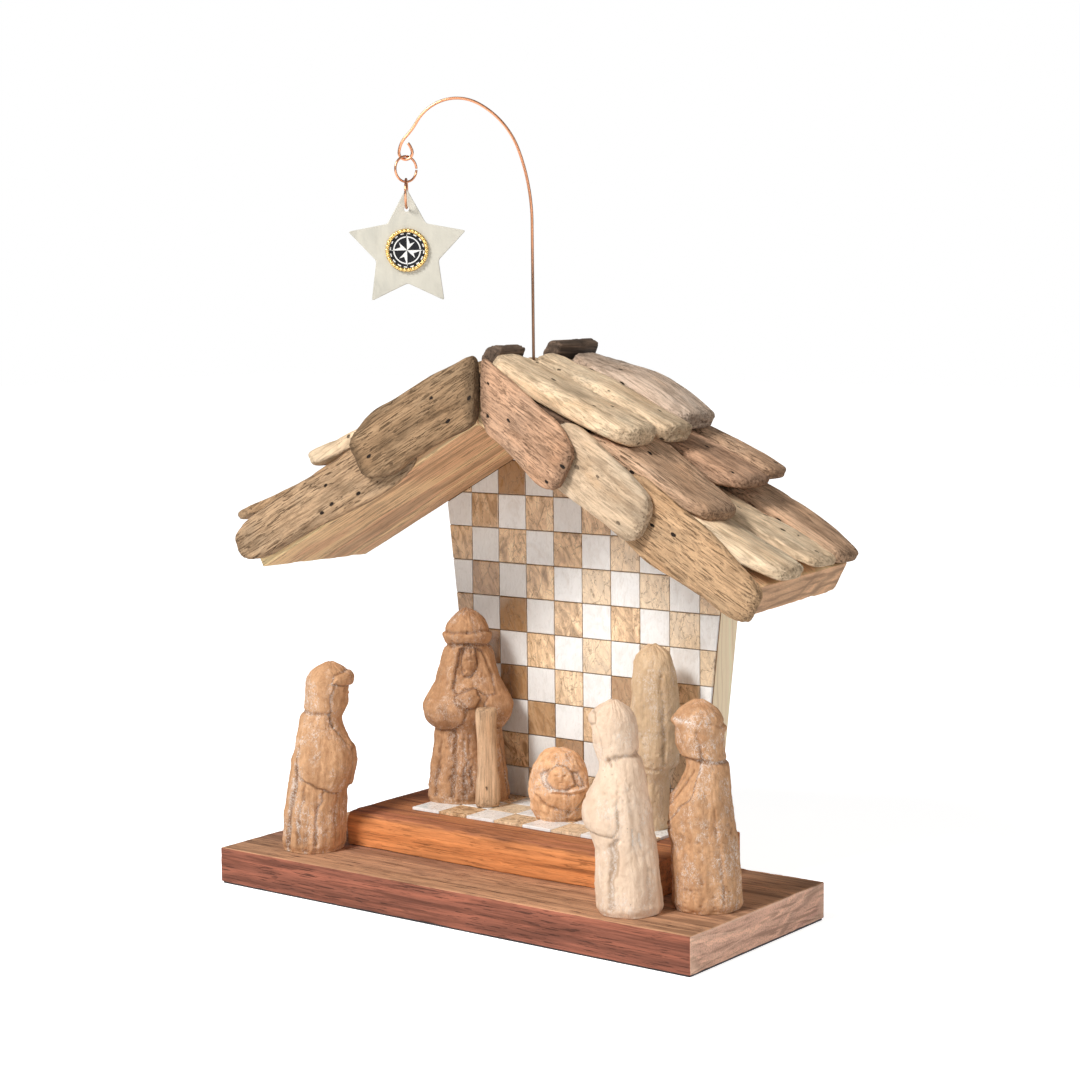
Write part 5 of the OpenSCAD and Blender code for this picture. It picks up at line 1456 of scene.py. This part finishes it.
class STABLE_OT_ridge(StableBuilder, bpy.types.Operator):
    """Add the ridge strips and chips"""

    bl_idname = "stable.ridge"
    bl_label = "Ridge pieces"

    def execute(self, context):
        s = context.scene.stable_sizes
        size, t, tan = mm(s.roof_length), mm(s.roof_thickness), math.tan(s.pitch)
        meet = {side: -(t + LAPS[side][1][0] * size) * tan / (1 + LAPS[side][1][1] * tan) for side in (-1, 1)}
        for side, word in ((-1, "left"), (1, "right")):
            node = f"ridge_strip_{word}"
            lo, hi = low(node), high(node)
            u1 = 0.29 * size
            shape = [(-t * tan, t), (u1, t), (u1, row_foot(side, 2, u1)), (meet[side], row_foot(side, 2, meet[side]))]
            strip = sawn(f"{node}_wood", shape, lo[1], hi[1], lambda p, q, r: slope(side, q, p, r), radius=0.8,
                gap=1.6, seed=60 + side, wave=0.15, chips=0.5)
            turn = (0, -side * s.pitch, math.pi / 2)
            settle(strip, plank_wood(f"dark strip {word}", (0.13, 0.075, 0.045), (0.2, 0.12, 0.07),
                ring=(0.0, -300.0), pore=0.9, turn=turn), node)
        ul, ur = -0.045 * size, -0.07 * size

        def flat(side, u, w):
            """Point of a slope as seen from the front."""
            return slope(side, u, 0.0, w)[[0, 2]]

        left, right = flat(-1, ul, row_top(-1, 2, ul)), flat(1, ur, row_top(1, 2, ur))
        for node, seed, rise in (("ridge_chip_front", 71, 5.0), ("ridge_chip_back", 72, 7.5)):
            shape = [flat(-1, ul, row_foot(-1, 2, ul)), flat(-1, meet[-1], row_foot(-1, 2, meet[-1])),
                flat(1, ur, max(row_foot(1, 2, ur), -ur / tan)), right + (0, 0.44 * rise),
                (left + 2 * right) / 3 + (0, 0.98 * rise), (2 * left + right) / 3 + (0, 0.98 * rise),
                left + (0, 0.2 * rise)]
            lo, hi = low(node), high(node)
            chip = sawn(f"{node}_wood", shape, lo[1], hi[1], lambda p, q, r: np.stack([q, p, r], -1), radius=1.6,
                gap=0.9, seed=seed, wave=0.7, chips=0.9)
            settle(chip, plank_wood(f"bark chip {seed}", (0.12, 0.08, 0.055), (0.2, 0.14, 0.1), ring=(0.0, -290.0),
                pore=1.0, turn=(0, 0, math.pi / 2), spread=0.5, contrast=1.5), node)
        return {"FINISHED"}


# Arcs of the wire, each with its turn in degrees and its radius as a share of the bow's or the eye's
BOW = ((20, 4.48), (41, 1.85), (88, 1.0), (-14, 1.55), (38, 0.55))
EYE = ((205, 1.0), (20, 3.5))
# The wire in millimetres: its stem, its bow's and eye's radii, its own radius, and the step along an arc
STEM, BOW_R, EYE_R, WIRE_R, ARC_STEP = 105.5, 25.7, 3.7, 0.8, 0.35
BOW_TURN = math.radians(30)
# Each loop's name, node, body, outer radius in millimetres and the way it faces in degrees
LOOPS = (("ring_loop", "wire_ring", "ring", 7.6, 75), ("link_loop", "star_link", "link", 8.6, 127))
LOOP_WIRE_R = 0.65


def bow_line():
    """The wire's middle line in its own plane: a straight stem, then arcs that run on from each other. Its x is to
    the side, its z up. Gives the line and the point under the eye from which the ring hangs."""
    x, z, h = 0.0, STEM, 0.0
    line = [np.stack([np.zeros(120), np.linspace(0, STEM, 120)], -1)]
    for size, arcs in ((BOW_R, BOW), (EYE_R, EYE)):
        for k, (turn, share) in enumerate(arcs):
            r, s = share * size, math.copysign(1, turn)
            if arcs is EYE and k == 0:
                hook = (x - r * math.cos(h), z - r * math.sin(h) - r)
            a = h + np.linspace(0, math.radians(turn), max(6, int(abs(math.radians(turn)) * r / ARC_STEP)))[1:]
            line.append(np.stack([x - s * r * (math.cos(h) - np.cos(a)), z + s * r * (np.sin(a) - math.sin(h))], -1))
            x, z = line[-1][-1]
            h = a[-1]
    return np.concatenate(line), hook


class STABLE_OT_wire(StableBuilder, bpy.types.Operator):
    """Add the copper wire, its ring and the star's link"""

    bl_idname = "stable.wire"
    bl_label = "Wire and loops"

    def execute(self, context):
        s, c = context.scene.stable_sizes, context.scene.stable_colours
        along, ahead = math.cos(BOW_TURN), math.sin(BOW_TURN)
        foot = (mm(s.middle), -mm(s.roof_front) + 0.53 * 94.5, mm(s.ridge) + 0.1 * mm(s.roof_thickness))
        line, hook = bow_line()
        path = np.stack([foot[0] + line[:, 0] * along, foot[1] + line[:, 0] * ahead, foot[2] + line[:, 1]], -1)
        at = (foot[0] + hook[0] * along, foot[1] + hook[0] * ahead)
        f = Finish("copper wire")
        patch = f.noise((0.06, 0.06, 0.05), 4, 0.6)
        aged = f.between(f.maths("ADD", f.split(f.place())[2], f.times(patch, 60.0)), 425.0, 360.0, 0.0, 0.85)
        col = tuple(c.copper)
        f.bump((f.noise((2.5, 2.5, 0.5), 3), 0.03))
        copper = f.done(f.mix(aged, col, (0.17, 0.105, 0.07)), f.between(patch, 0.3, 0.7, 0.26, 0.42), Metallic=1.0)
        settle(skin("wire_bow", tube(path, WIRE_R, 20)), copper, "star_wire")
        shiny = metal("bright copper", col, rough=0.22, dark=0.3)
        for name, node, body, r, face in LOOPS:
            level = (low(node)[2] + high(node)[2]) / 2
            a = np.linspace(0.05, 2 * np.pi - 0.05, 140)
            m = (r - LOOP_WIRE_R) * (1 + 0.006 * np.sin(2 * a + 1))
            face = math.radians(face)
            ring = np.stack([at[0] + m * np.cos(a) * math.cos(face), at[1] + m * np.cos(a) * math.sin(face),
                level + m * np.sin(a)], -1)
            settle(skin(name, tube(ring, LOOP_WIRE_R)), shiny, node, body)
        return {"FINISHED"}


# The star, in millimetres: radius to its points, the notches' radius as a share of it, half its thickness, its hole's
# radius, and the hole's height as a share of the points' radius
STAR_R, STAR_NOTCH, STAR_HALF, HOLE_R, HOLE_UP = 34.0, 0.53, 1.1, 1.43, 0.66
# The rim's radius, width and height, its beads' radius and number, the medallion's radius, and how the star faces
RIM_R, RIM_WIDE, RIM_TALL, BEAD_R, BEADS = 11.8, 2.0, 1.76, 1.08, 30
MEDAL_R = RIM_R * 0.83
STAR_TURN = math.radians(37)


def star_place(x, y, z):
    """Place on the star: x across its face, y out of its front, z up from its middle."""
    lo, hi = low("star"), high("star")
    c, s = math.cos(STAR_TURN), math.sin(STAR_TURN)
    mid = ((lo[0] + hi[0]) / 2, (lo[1] + hi[1]) / 2, hi[2] - STAR_R)
    return np.stack([mid[0] + x * c + y * s, mid[1] + x * s - y * c, mid[2] + z], -1)


def star_mesh():
    """The star's plate: ten corners, rounded, with narrow bevels, and a round hole near its top."""
    k = np.arange(10)
    r = np.where(k % 2 == 0, STAR_R, STAR_R * STAR_NOTCH)
    corners = np.stack([r * np.sin(np.radians(36 * k)), r * np.cos(np.radians(36 * k))], -1)
    loop, _ = rounded(corners, 1.5, 1.0)
    n, m, t = len(loop), 24, STAR_HALF
    pull = loop / np.linalg.norm(loop, axis=1, keepdims=True)
    rows = [(0.4, -t), (0.12, -t + 0.1), (0.0, -t + 0.35), (0.0, t - 0.35), (0.12, t - 0.1), (0.4, t)]
    turn = np.linspace(0, 2 * np.pi, m, endpoint=False)
    hole = np.stack([HOLE_R * np.cos(turn), HOLE_UP * STAR_R + HOLE_R * np.sin(turn)], -1)
    flat = [np.c_[(loop - pull * d)[:, 0], np.full(n, h), (loop - pull * d)[:, 1]] for d, h in rows]
    flat += [np.c_[hole[:, 0], np.full(m, h), hole[:, 1]] for h in (-t, t)]
    pts = np.concatenate(flat)
    k, up, rim = np.arange(m), (np.arange(m) + 1) % m, len(rows) * n
    faces = grid_faces(len(rows), n) + np.stack([rim + k, rim + m + k, rim + m + up, rim + up], -1).tolist()
    for first, ring in ((0, rim), (rim - n, rim + m)):
        index = [*range(first, first + n), *range(ring, ring + m)]
        tris = tessellate_polygon([[(q[0], q[2], 0) for q in pts[start:start + count]] for start,
            count in ((first, n), (ring, m))])
        faces += [[index[v] for v in tri] for tri in tris]
    return add_mesh("star_plate", star_place(*pts.T), faces, smooth_faces=False)


def rim_mesh():
    """The rim: a rounded band round the medallion and a circle of flattened beads on it."""
    a = np.linspace(0, 2 * np.pi, 96, endpoint=False)[:, None]
    v = np.linspace(0, 2 * np.pi, 12, endpoint=False)[None, :]
    r = RIM_R - RIM_WIDE / 2 + RIM_WIDE / 2 * power(np.cos(v), 0.7) + 0 * a
    y = STAR_HALF + RIM_TALL * 0.42 + RIM_TALL * 0.42 * power(np.sin(v), 0.7) + 0 * a
    band = star_place(r * np.cos(a), y, r * np.sin(a))
    parts = [(band.reshape(-1, 3), grid_faces(*band.shape[:2], around=True), {})]
    lat = np.linspace(0.05, np.pi - 0.05, 9)[:, None]
    lon = np.linspace(0, 2 * np.pi, 12, endpoint=False)[None, :]
    m, n = len(lat), lon.size
    faces = grid_faces(m, n) + [list(range(n))[::-1], [(m - 1) * n + q for q in range(n)]]
    for b in range(BEADS):
        at = 2 * np.pi * b / BEADS
        x = (RIM_R - 1.0) * math.cos(at) + BEAD_R * np.sin(lat) * np.cos(lon)
        z = (RIM_R - 1.0) * math.sin(at) + BEAD_R * np.sin(lat) * np.sin(lon)
        y = STAR_HALF + RIM_TALL * 0.72 + 0.75 * BEAD_R * np.cos(lat) + 0 * lon
        parts.append((star_place(x, y, z).reshape(-1, 3), faces, {}))
    return add_mesh("star_rim_beads", *join_parts(parts))


def medal_mesh():
    """The medallion: rings of points whose ink comes from a compass rose of eight points in a ticked border."""
    rad = np.concatenate([np.linspace(0.02, 1, 90) * MEDAL_R, [MEDAL_R]])[:, None]
    ang = np.linspace(0, 2 * np.pi, 288, endpoint=False)[None, :]
    dome = STAR_HALF + RIM_TALL * 0.55 - 0.05 * (rad / MEDAL_R) ** 2 + 0 * ang
    dome[-1] = STAR_HALF + 0.02

    waist = 2.9

    def ray(offset, reach):
        """What lies inside a star of four points, whose sides run straight from a point to the waist, and which side
        of its nearest point's middle each angle is on."""
        w = np.pi / 4
        d = (ang - offset + w) % (2 * w) - w
        edge = reach * waist * math.sin(w) / (reach * np.sin(np.abs(d)) + waist * np.sin(w - np.abs(d)))
        return rad < edge, d > 0

    (four, four_side), (eight, eight_side) = ray(0.0, 8.6), ray(np.pi / 4, 6.3)
    ink = np.where(four, ~four_side, eight & eight_side).astype(float)
    ink[(np.abs(rad - 7.3) < 0.32) & ~four & ~eight] = 1.0
    ink = np.where((rad > 8.85) & (rad < 9.5), np.floor(ang / (2 * np.pi / 32)) % 2, ink)
    return skin("star_medal", star_place(rad * np.cos(ang), dome, rad * np.sin(ang)), {"ink": ink})


class STABLE_OT_star(StableBuilder, bpy.types.Operator):
    """Add the star, its gold rim and its medallion"""

    bl_idname = "stable.star"
    bl_label = "Star"

    def execute(self, context):
        c = context.scene.stable_colours
        col = tuple(c.ivory)
        f = Finish("pale star")
        cloud = f.noise((0.06, 0.06, 0.03), 5, 0.65, 1.5)
        vein = f.noise((0.25, 0.25, 0.04), 4, 0.6, 1.0)
        tone = f.ramp(cloud, [(0.3, tint(col, 0.86, -0.01)), (0.7, tint(col, 1.08)), (0.5, col)])
        tone = f.layer(tone, vein, 0.52, 0.75, 0.35, tint(col, 0.8, 0.02))
        f.bump((vein, 0.1))
        settle(star_mesh(), f.done(tone, 0.42, Specular_IOR_Level=0.45, Coat_Weight=0.1), "star", "star")
        settle(rim_mesh(), metal("polished gold", tuple(c.gold), rough=0.2, dark=0.35), "star_rim", "star")
        f = Finish("glazed rose")
        craze = f.noise((0.5, 0.5, 0.5), 3)
        white = f.mix(craze, (0.78, 0.77, 0.73), (0.88, 0.87, 0.84))
        f.bump((craze, 0.03))
        tone = f.mix(f.between(f.attribute("ink"), 0.4, 0.6), (0.012, 0.012, 0.014), white)
        settle(medal_mesh(), f.done(tone, 0.16, Coat_Weight=0.6, Coat_Roughness=0.05), "star_medallion", "star")
        return {"FINISHED"}


class STABLE_OT_wise(StableBuilder, bpy.types.Operator):
    """Add the three wise figures"""

    bl_idname = "stable.wise"
    bl_label = "Wise figures"

    def execute(self, context):
        c = context.scene.stable_colours
        tan = carved_wood("carved tan", tuple(c.carved), tuple(c.wash), 0.7)
        pale = carved_wood("carved pale", tuple(c.carved_pale), tuple(c.wash), 0.6, 0.35)

        def robed(side, front, back, lean):
            """The robe's build with its half sizes and its lean scaled."""
            shares = {"side": side, "front": front, "back": back, "lean": lean}
            return {word: [(a, b * k) for a, b in ROBE[word]] for word, k in shares.items()}

        figure("wise_left", 28, (-117.65, -34.05), tan, robed(1, 1, 1, 1.1), WISE_MARKS, WISE_STROKES + FACE,
            SLEEVE + BROW, LEFT_CHALK, grooves=7, seed=1, rough=1.0, robe=1.0)
        figure("wise_front", 195, (109.88, -42.37), pale, robed(0.94, 0.94, 0.93, 0.8), WISE_MARKS,
            SOFT_STROKES + FACE, SOFT_SLEEVE + SOFT_BROW, FRONT_CHALK, grooves=6, seed=2, rough=1.0, robe=0.5)
        figure("wise_right", 205, (137.96, -12.78), tan, robed(1, 1, 1, 0.45), WISE_MARKS, CAPE_STROKES + FACE,
            CAPE_FIELD, RIGHT_CHALK, grooves=8, seed=3, rough=1.0, robe=0.6)
        return {"FINISHED"}


class STABLE_OT_family(StableBuilder, bpy.types.Operator):
    """Add the father with the staff, the mother and the child"""

    bl_idname = "stable.family"
    bl_label = "Family"

    def execute(self, context):
        c = context.scene.stable_colours
        wash = tuple(c.wash)
        # A darker copy of the carved tan for the father: painted shade, for the roof's shade he stands in
        brown = carved_wood("carved brown", tint(tuple(c.carved), 0.82, 0.03), wash, 0.4)
        sand = carved_wood("carved sand", (0.64, 0.455, 0.28), wash, 0.5, 0.5)
        # A lighter copy of the carved tan for the child: painted light, for more light on it under the roof
        light = carved_wood("carved light", tint(tuple(c.carved), 1.45, -0.02), wash, 0.7)

        def moved(face, t):
            """A face moved up by a share of the figure's height."""
            return [([(a, b + t) for a, b in line], w, d) for line, w, d in face]

        figure("joseph", -47, (-62.9, 40.95), brown, CLOAK, FATHER_MARKS, FATHER_STROKES + moved(FACE, -0.07),
            FATHER_FIELDS, FATHER_CHALK, grooves=6, seed=4, rough=1.1, robe=0.9)
        figure("mary", 188, (64.21, 40.95), sand, VEIL, MOTHER_MARKS, MOTHER_STROKES + moved(FACE, -0.01), [], [],
            grooves=5, seed=5, rough=0.8, robe=0.5)
        figure("child", -52, (10.09, 31.85), light, WRAP, CHILD_MARKS, CHILD_STROKES, CHILD_FIELDS, CHILD_CHALK,
            grooves=5, seed=6, rough=1.5, robe=0.5)
        lo, hi = low("joseph_staff"), high("joseph_staff")
        mid, tall = ((lo[0] + hi[0]) / 2, (lo[1] + hi[1]) / 2), hi[2] - lo[2]
        a = math.radians(-45)

        def place(p, q, h):
            """p up the staff, q across it and h out of its face."""
            out = h - 3.9
            return np.stack([mid[0] + out * math.cos(a) - q * math.sin(a),
                mid[1] + out * math.sin(a) + q * math.cos(a), lo[2] + p], -1)

        staff = driftwood("staff_wood", place, (0.0, tall), (-6.4, -6.1), (6.4, 6.1), lambda u: 0.1 + 0 * u,
            lambda u: 7.6 + 0 * u, seed=83, rough=0.6, round_top=0.75, steps=90, cut=0.1, last=0.12)
        settle(staff, drift_finish("staff"), "joseph_staff")
        return {"FINISHED"}


# Each lamp's place and size in metres, and the setting that holds its power
LAMPS = (("key lamp", (-0.3, -1.35, 1.42), 0.5, "key"), ("side lamp", (1.6, -0.3, 0.9), 1.2, "fill"),
    ("low lamp", (1.3, -1.1, 0.12), 0.6, "glow"))


class STABLE_OT_stage(StableBuilder, bpy.types.Operator):
    """Add the floor, the lamps and the camera"""

    bl_idname = "stable.stage"
    bl_label = "Stage"

    def execute(self, context):
        st = context.scene.stable_stage
        mesh = bpy.data.meshes.new("floor")
        mesh.from_pydata([(-6, -6, 0), (6, -6, 0), (6, 6, 0), (-6, 6, 0)], [], [(0, 1, 2, 3)])
        floor = bpy.data.objects.new("floor", mesh)
        context.scene.collection.objects.link(floor)
        f = Finish("white floor")
        f.done((0.9, 0.9, 0.9), 0.9, Specular_IOR_Level=0.0)
        far = f.add("ShaderNodeVectorMath", operation="LENGTH")
        f.put(far.inputs[0], f.place())
        rays = f.add("ShaderNodeLightPath")
        seen = f.maths("MAXIMUM", rays.outputs["Is Glossy Ray"], rays.outputs["Is Transmission Ray"])
        seen = f.maths("MAXIMUM", rays.outputs["Is Camera Ray"], seen)
        glow = f.add("ShaderNodeEmission")
        f.put(glow.inputs[1], f.times(seen, f.between(far.outputs["Value"], 300.0, 1500.0, st.floor_glow, 1.0)))
        both = f.add("ShaderNodeAddShader")
        f.put(both.inputs[0], f.shader.outputs[0])
        f.put(both.inputs[1], glow.outputs[0])
        f.put(f.tree.nodes["Material Output"].inputs[0], both.outputs[0])
        dress(floor, f.mat)
        world = bpy.data.worlds.new("white room")
        context.scene.world = world
        world.use_nodes = True
        tree = world.node_tree
        back = tree.nodes["Background"]
        back.inputs[0].default_value = (1, 1, 1, 1)
        rays = tree.nodes.new("ShaderNodeLightPath")
        either = tree.nodes.new("ShaderNodeMath")
        either.operation = "MAXIMUM"
        tree.links.new(rays.outputs["Is Camera Ray"], either.inputs[0])
        tree.links.new(rays.outputs["Is Transmission Ray"], either.inputs[1])
        span = tree.nodes.new("ShaderNodeMapRange")
        tree.links.new(either.outputs[0], span.inputs["Value"])
        span.inputs["To Min"].default_value = st.sky
        span.inputs["To Max"].default_value = 1.0
        tree.links.new(span.outputs[0], back.inputs[1])
        aim = Vector((0.0, 0.0, 0.18))
        for name, where, size, setting in LAMPS:
            lamp = bpy.data.lights.new(name, "AREA")
            lamp.size = size
            lamp.energy = getattr(st, setting)
            obj = bpy.data.objects.new(name, lamp)
            obj.location = where
            obj.rotation_euler = (aim - Vector(where)).to_track_quat("-Z", "Y").to_euler()
            context.scene.collection.objects.link(obj)
        cam = bpy.data.cameras.new("camera")
        cam.lens = st.lens
        cam.sensor_width = 36.0
        cam.sensor_fit = "HORIZONTAL"
        cam.clip_start = 0.01
        obj = bpy.data.objects.new("camera", cam)
        a, e, r = st.azimuth, st.elevation, st.roll
        ahead = Vector((-math.sin(a) * math.cos(e), math.cos(a) * math.cos(e), -math.sin(e)))
        right = Vector((math.cos(a), math.sin(a), 0))
        up = right.cross(ahead)
        across = right * math.cos(r) + up * math.sin(r)
        rise = up * math.cos(r) - right * math.sin(r)
        turn = Matrix((across, rise, -ahead)).transposed().to_4x4()
        obj.matrix_world = Matrix.Translation(Vector(st.place)) @ turn
        context.scene.collection.objects.link(obj)
        context.scene.camera = obj
        context.scene.view_settings.view_transform = "Standard"
        return {"FINISHED"}


BUILDERS = (
    STABLE_OT_planks, STABLE_OT_back_board, STABLE_OT_tiles, STABLE_OT_roof_boards, STABLE_OT_ridge,
    STABLE_OT_roof_drift, STABLE_OT_gable_drift, STABLE_OT_wire, STABLE_OT_star, STABLE_OT_wise,
    STABLE_OT_family, STABLE_OT_stage,
)


class STABLE_PT_panel(bpy.types.Panel):
    """Buttons and settings in the sidebar"""

    bl_idname = "STABLE_PT_panel"
    bl_label = "Stable"
    bl_space_type = "VIEW_3D"
    bl_region_type = "UI"
    bl_category = "Stable"

    def draw(self, context):
        for kind in BUILDERS:
            self.layout.operator(kind.bl_idname)
        for group in (context.scene.stable_sizes, context.scene.stable_colours, context.scene.stable_stage):
            box = self.layout.box()
            for key in group.__annotations__:
                box.prop(group, key)


CLASSES = (StableSizes, StableColours, StageSettings, *BUILDERS, STABLE_PT_panel)


def register():
    for kind in CLASSES:
        bpy.utils.register_class(kind)
    bpy.types.Scene.stable_sizes = PointerProperty(type=StableSizes)
    bpy.types.Scene.stable_colours = PointerProperty(type=StableColours)
    bpy.types.Scene.stable_stage = PointerProperty(type=StageSettings)


def unregister():
    del bpy.types.Scene.stable_stage
    del bpy.types.Scene.stable_colours
    del bpy.types.Scene.stable_sizes
    for kind in reversed(CLASSES):
        bpy.utils.unregister_class(kind)


def main():
    """Builds every piece in order."""
    register()
    for name in ("planks", "back_board", "tiles", "roof_boards", "ridge", "roof_drift", "gable_drift", "wire", "star",
            "wise", "family", "stage"):
        getattr(bpy.ops.stable, name)()


if __name__ == "__main__":
    main()
